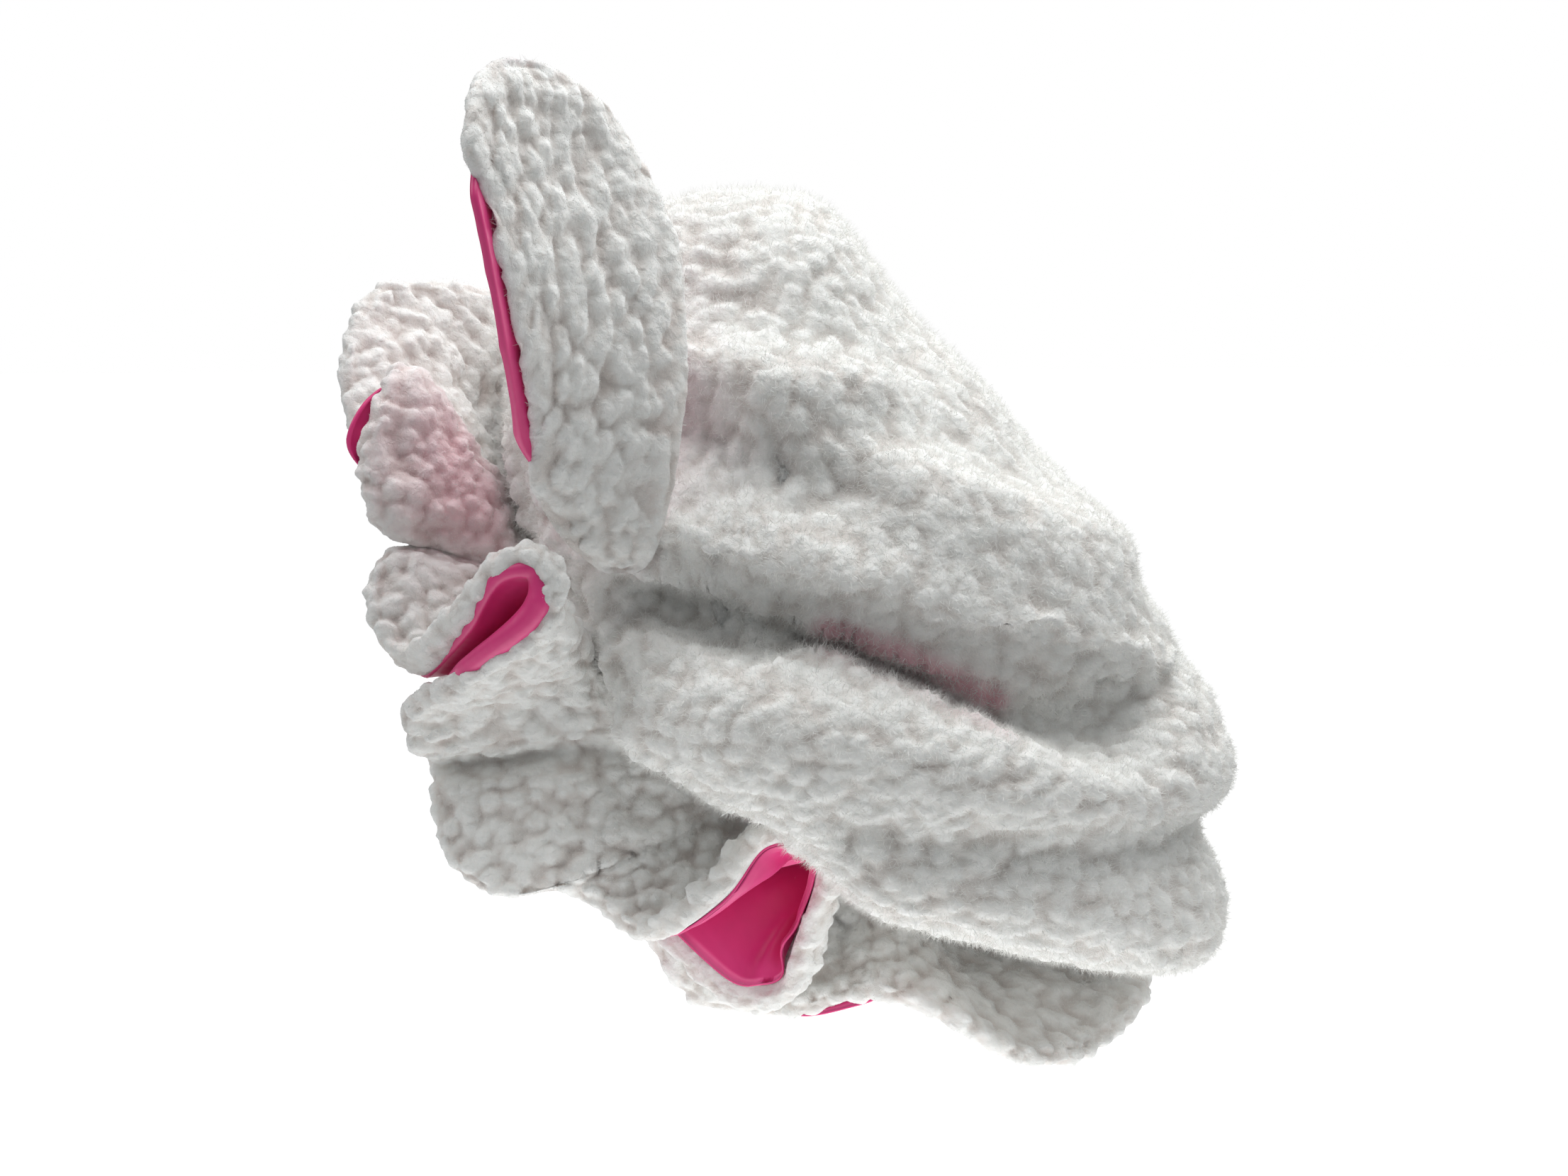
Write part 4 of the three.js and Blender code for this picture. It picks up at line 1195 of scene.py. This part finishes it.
def fibre_tree():
    """A tree with named inputs that covers a mesh with loose fibres."""
    tree = bpy.data.node_groups.new("loose_fibres", "GeometryNodeTree")
    face = tree.interface
    face.new_socket("Geometry", in_out="INPUT", socket_type="NodeSocketGeometry")
    sizes = {"Density": FIBRE_DENSITY, "Length": FIBRE_LENGTH,
             "Width": FIBRE_WIDTH, "Tilt": FIBRE_TILT}
    for name, value in sizes.items():
        socket = face.new_socket(name, in_out="INPUT", socket_type="NodeSocketFloat")
        socket.default_value = value
    face.new_socket("Seed", in_out="INPUT", socket_type="NodeSocketInt")
    face.new_socket("Material", in_out="INPUT", socket_type="NodeSocketMaterial")
    face.new_socket("Geometry", in_out="OUTPUT", socket_type="NodeSocketGeometry")
    given = add_node(tree, "NodeGroupInput").outputs
    scatter = add_node(tree, "GeometryNodeDistributePointsOnFaces",
                       {"Mesh": given["Geometry"], "Density": given["Density"],
                        "Seed": given["Seed"]})
    blade = add_node(tree, "GeometryNodeMeshCircle",
                     {"Vertices": 3, "Radius": 0.5}, fill_type="NGON")
    blade_size = add_node(tree, "ShaderNodeCombineXYZ",
                          {"X": given["Length"], "Y": given["Width"], "Z": 1.0})
    upright = add_node(tree, "GeometryNodeTransform",
                       {"Geometry": blade.outputs["Mesh"], "Scale": blade_size.outputs["Vector"]})
    rise = add_node(tree, "ShaderNodeMath",
                    {0: given["Length"], 1: FIBRE_RISE}, operation="MULTIPLY")
    lift = add_node(tree, "ShaderNodeCombineXYZ", {"Z": rise.outputs["Value"]})
    stood = add_node(tree, "GeometryNodeTransform",
                     {"Geometry": upright.outputs["Geometry"], "Rotation": (0, -math.pi / 2, 0),
                      "Translation": lift.outputs["Vector"]})
    least = add_node(tree, "ShaderNodeMath", {0: given["Tilt"], 1: -1.0}, operation="MULTIPLY")
    low = add_node(tree, "ShaderNodeCombineXYZ",
                   {"X": least.outputs["Value"], "Y": least.outputs["Value"], "Z": 0.0})
    high = add_node(tree, "ShaderNodeCombineXYZ",
                    {"X": given["Tilt"], "Y": given["Tilt"], "Z": 2 * math.pi})
    tilt = add_node(tree, "FunctionNodeRandomValue", data_type="FLOAT_VECTOR")
    tree.links.new(low.outputs["Vector"], tilt.inputs[0])
    tree.links.new(high.outputs["Vector"], tilt.inputs[1])
    tree.links.new(given["Seed"], tilt.inputs["Seed"])
    turned = add_node(tree, "FunctionNodeRotateRotation",
                      {"Rotation": scatter.outputs["Rotation"], "Rotate By": tilt.outputs[0]},
                      rotation_space="LOCAL")
    placed = add_node(tree, "GeometryNodeInstanceOnPoints",
                      {"Points": scatter.outputs["Points"], "Instance": stood.outputs["Geometry"],
                       "Rotation": turned.outputs["Rotation"]})
    real = add_node(tree, "GeometryNodeRealizeInstances", {"Geometry": placed.outputs["Instances"]})
    painted = add_node(tree, "GeometryNodeSetMaterial",
                       {"Geometry": real.outputs["Geometry"], "Material": given["Material"]})
    add_node(tree, "NodeGroupOutput", {"Geometry": painted.outputs["Geometry"]})
    return tree


FIBRES = fibre_tree()


def grow_fibres(name, source, columns, ring, density, seed):
    """Fibres on the outer face of a cloth, as a plain mesh of their own."""
    rows = source.shape[0]
    outer_face = source[:, :columns]
    mesh = bpy.data.meshes.new(name)
    index = np.arange(rows * columns).reshape(rows, columns)
    top = index if ring else index[:-1]
    under = np.roll(index, -1, axis=0) if ring else index[1:]
    quads = np.stack([top[:, :-1], under[:, :-1], under[:, 1:], top[:, 1:]], axis=-1).reshape(-1, 4)
    mesh.from_pydata((outer_face * MM).reshape(-1, 3).tolist(), [], quads.tolist())
    host = bpy.data.objects.new(name + "_host", mesh)
    bpy.context.scene.collection.objects.link(host)
    modifier = host.modifiers.new("fibres", "NODES")
    modifier.node_group = FIBRES
    items = FIBRES.interface.items_tree
    sockets = {item.name: item.identifier for item in items if item.in_out == "INPUT"}
    modifier[sockets["Density"]] = float(density)
    modifier[sockets["Seed"]] = seed
    modifier[sockets["Material"]] = loose_fibre
    evaluated = host.evaluated_get(bpy.context.evaluated_depsgraph_get())
    grown = bpy.data.meshes.new_from_object(evaluated)
    grown.name = name
    bpy.data.objects.remove(host)
    piece = bpy.data.objects.new(name, grown)
    bpy.context.scene.collection.objects.link(piece)
    print(f"{name}: {len(grown.polygons)} fibres")
    return piece


# %% [markdown]
# ## Fibres on every fleece piece
# The nodes run once for each fleece piece, on its outer face only, and the result is kept as a
# plain mesh. The density counts blades to a square metre: about one for every 2 square
# millimetres of the crown, and more on the ears, which stand nearest to the camera.

# %% Grow the fibres
crown_fibres = grow_fibres("crown_fibres", crown_grid_points, len(outer_sides), False, 480000, 11)
ruffle_fibres = grow_fibres(
    "ruffle_fibres", ruffle_points, RUFFLE_COLUMNS + RUFFLE_RIM_COLUMNS, True, 560000, 12)
ear_fibres = {}
for side, seed in (("left", 13), ("right", 14)):
    ear_fibres[side] = grow_fibres(
        f"ear_{side}_fibres", ear_grids[side], EAR_ARC_COLUMNS, False, 700000, seed)

# %% [markdown]
# ## Which piece gets which finish
# The lining, the satin side of the hem and the fronts of the ears were cut from one cloth, so they
# share one material. The elastic's casing is the same satin bunched up and duller, and the shade
# in its gathers is painted into a darker pink, so it has its own.

# %% Give every piece its finish
for piece in (crown, ruffle, ears["left"][0], ears["right"][0]):
    piece.data.materials.append(sherpa)
for piece in (crown_lining, ruffle_lining, ears["left"][1], ears["right"][1]):
    piece.data.materials.append(satin)
elastic_band.data.materials.append(elastic)

# %% [markdown]
# ## Fixing the pieces to the part
# Each piece says which body it rides on, which plain solid it stands for and what it is made of.
# The bag and the ruffle are sheets of cloth that the elastic gathers, and the ears are padded.

# %% Ride and replace
REPLACED = [
    (crown, ["crown_front", "crown_back"], "fleece"),
    (crown_lining, ["crown_lining"], "satin"),
    (ruffle, ["ruffle"], "fleece"),
    (ruffle_lining, ["ruffle_lining"], "satin"),
    (elastic_band, ["elastic_band"], "elastic"),
    (ears["left"][0], ["ear_left"], "fleece"),
    (ears["left"][1], ["ear_left_lining"], "satin"),
    (ears["right"][0], ["ear_right"], "fleece"),
    (ears["right"][1], ["ear_right_lining"], "satin"),
]
for piece, nodes, slot in REPLACED:
    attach(piece, "root")
    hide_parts(*nodes)
for piece in (crown_fibres, ruffle_fibres, ear_fibres["left"], ear_fibres["right"]):
    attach(piece, "root")

# %% [markdown]
# ## Light and floor
# The photo is lit by a broad soft light from above and behind, so the top and the back of the
# crown are bright and the side of the ear that faces the camera lies in gentle shade. A white
# table throws light back up, most of all at the hem. A wide lamp above and behind is the main one.
# Weaker ones stand far back and on the face side, and one below stands for the table. The world
# is dim at eye level. The floor and the backdrop are plain white.

# %% Studio
FLOOR_HEIGHT = -0.29
FLOOR_REACH = 8
FLOOR_GREY = "#7A7A7A"
SKY_WHITE = "#F2F5F7"
WORLD_SEEN = "#FFFFFF"
LIGHT_BELOW = 0.34
LIGHT_AT_EYE_LEVEL = 0.24
LIGHT_ABOVE = 0.4


def floor():
    mesh = bpy.data.meshes.new("floor")
    signs = ((-1, -1), (1, -1), (1, 1), (-1, 1))
    corners = [(x * FLOOR_REACH, y * FLOOR_REACH, FLOOR_HEIGHT) for x, y in signs]
    mesh.from_pydata(corners, [], [(0, 1, 2, 3)])
    material, tree = new_material("white_studio_floor")
    shader = add_node(tree, "ShaderNodeBsdfPrincipled",
                      {"Base Color": linear(FLOOR_GREY), "Roughness": 0.9,
                       "Specular IOR Level": 0.1, "Emission Color": (1, 1, 1, 1),
                       "Emission Strength": 1.0})
    add_node(tree, "ShaderNodeOutputMaterial", {"Surface": shader.outputs["BSDF"]})
    mesh.materials.append(material)
    piece = bpy.data.objects.new("floor", mesh)
    bpy.context.scene.collection.objects.link(piece)
    piece.visible_diffuse = False


def soft_lamp(name, azimuth, elevation, distance, size, power):
    """A square lamp at a place round the bonnet, turned to face it."""
    lamp = bpy.data.lights.new(name, "AREA")
    lamp.size = size
    lamp.energy = power
    holder = bpy.data.objects.new(name, lamp)
    bpy.context.scene.collection.objects.link(holder)
    way = direction(azimuth, elevation)
    holder.location = CAMERA_TARGET + way * distance
    holder.rotation_euler = (-way).to_track_quat("-Z", "Y").to_euler()
    holder.visible_camera = False


def surroundings():
    """A world that lights by height, and that the camera sees as a white backdrop."""
    world = bpy.data.worlds.new("studio")
    bpy.context.scene.world = world
    world.use_nodes = True
    tree = world.node_tree
    tree.nodes.clear()
    way = add_node(tree, "ShaderNodeTexCoord")
    height = add_node(tree, "ShaderNodeSeparateXYZ", {"Vector": way.outputs["Generated"]})
    from_below = add_node(tree, "ShaderNodeMapRange",
                          {"Value": height.outputs["Z"], "From Min": -1.0, "From Max": 0.0,
                           "To Min": LIGHT_BELOW, "To Max": LIGHT_AT_EYE_LEVEL})
    from_above = add_node(tree, "ShaderNodeMapRange",
                          {"Value": height.outputs["Z"], "From Min": 0.0, "From Max": 1.0,
                           "To Min": 0.0, "To Max": LIGHT_ABOVE - LIGHT_AT_EYE_LEVEL})
    strength = add_node(tree, "ShaderNodeMath",
                        {0: from_below.outputs[0], 1: from_above.outputs[0]})
    glow = add_node(tree, "ShaderNodeBackground",
                    {"Color": linear(SKY_WHITE), "Strength": strength.outputs["Value"]})
    backdrop = add_node(tree, "ShaderNodeBackground",
                        {"Color": linear(WORLD_SEEN), "Strength": 1.0})
    ray = add_node(tree, "ShaderNodeLightPath")
    both = add_node(tree, "ShaderNodeMixShader", {"Fac": ray.outputs["Is Camera Ray"]})
    tree.links.new(glow.outputs[0], both.inputs[1])
    tree.links.new(backdrop.outputs[0], both.inputs[2])
    add_node(tree, "ShaderNodeOutputWorld", {"Surface": both.outputs[0]})


# Each lamp's azimuth and elevation in degrees, distance and size in metres, and power in watts.
LAMPS = {
    "above_and_behind": (148, 76, 1.2, 1.1, 12.5),
    "far_back": (220, 28, 1.2, 1.1, 8),
    "face_side": (10, 40, 1.8, 1.0, 8),
    "white_table": (85, -80, 0.33, 0.7, 2.0),
}
floor()
surroundings()
for lamp_name, lamp_values in LAMPS.items():
    soft_lamp(lamp_name, *lamp_values)
print("lamps:", ", ".join(LAMPS))
bpy.context.scene.view_settings.view_transform = "Standard"
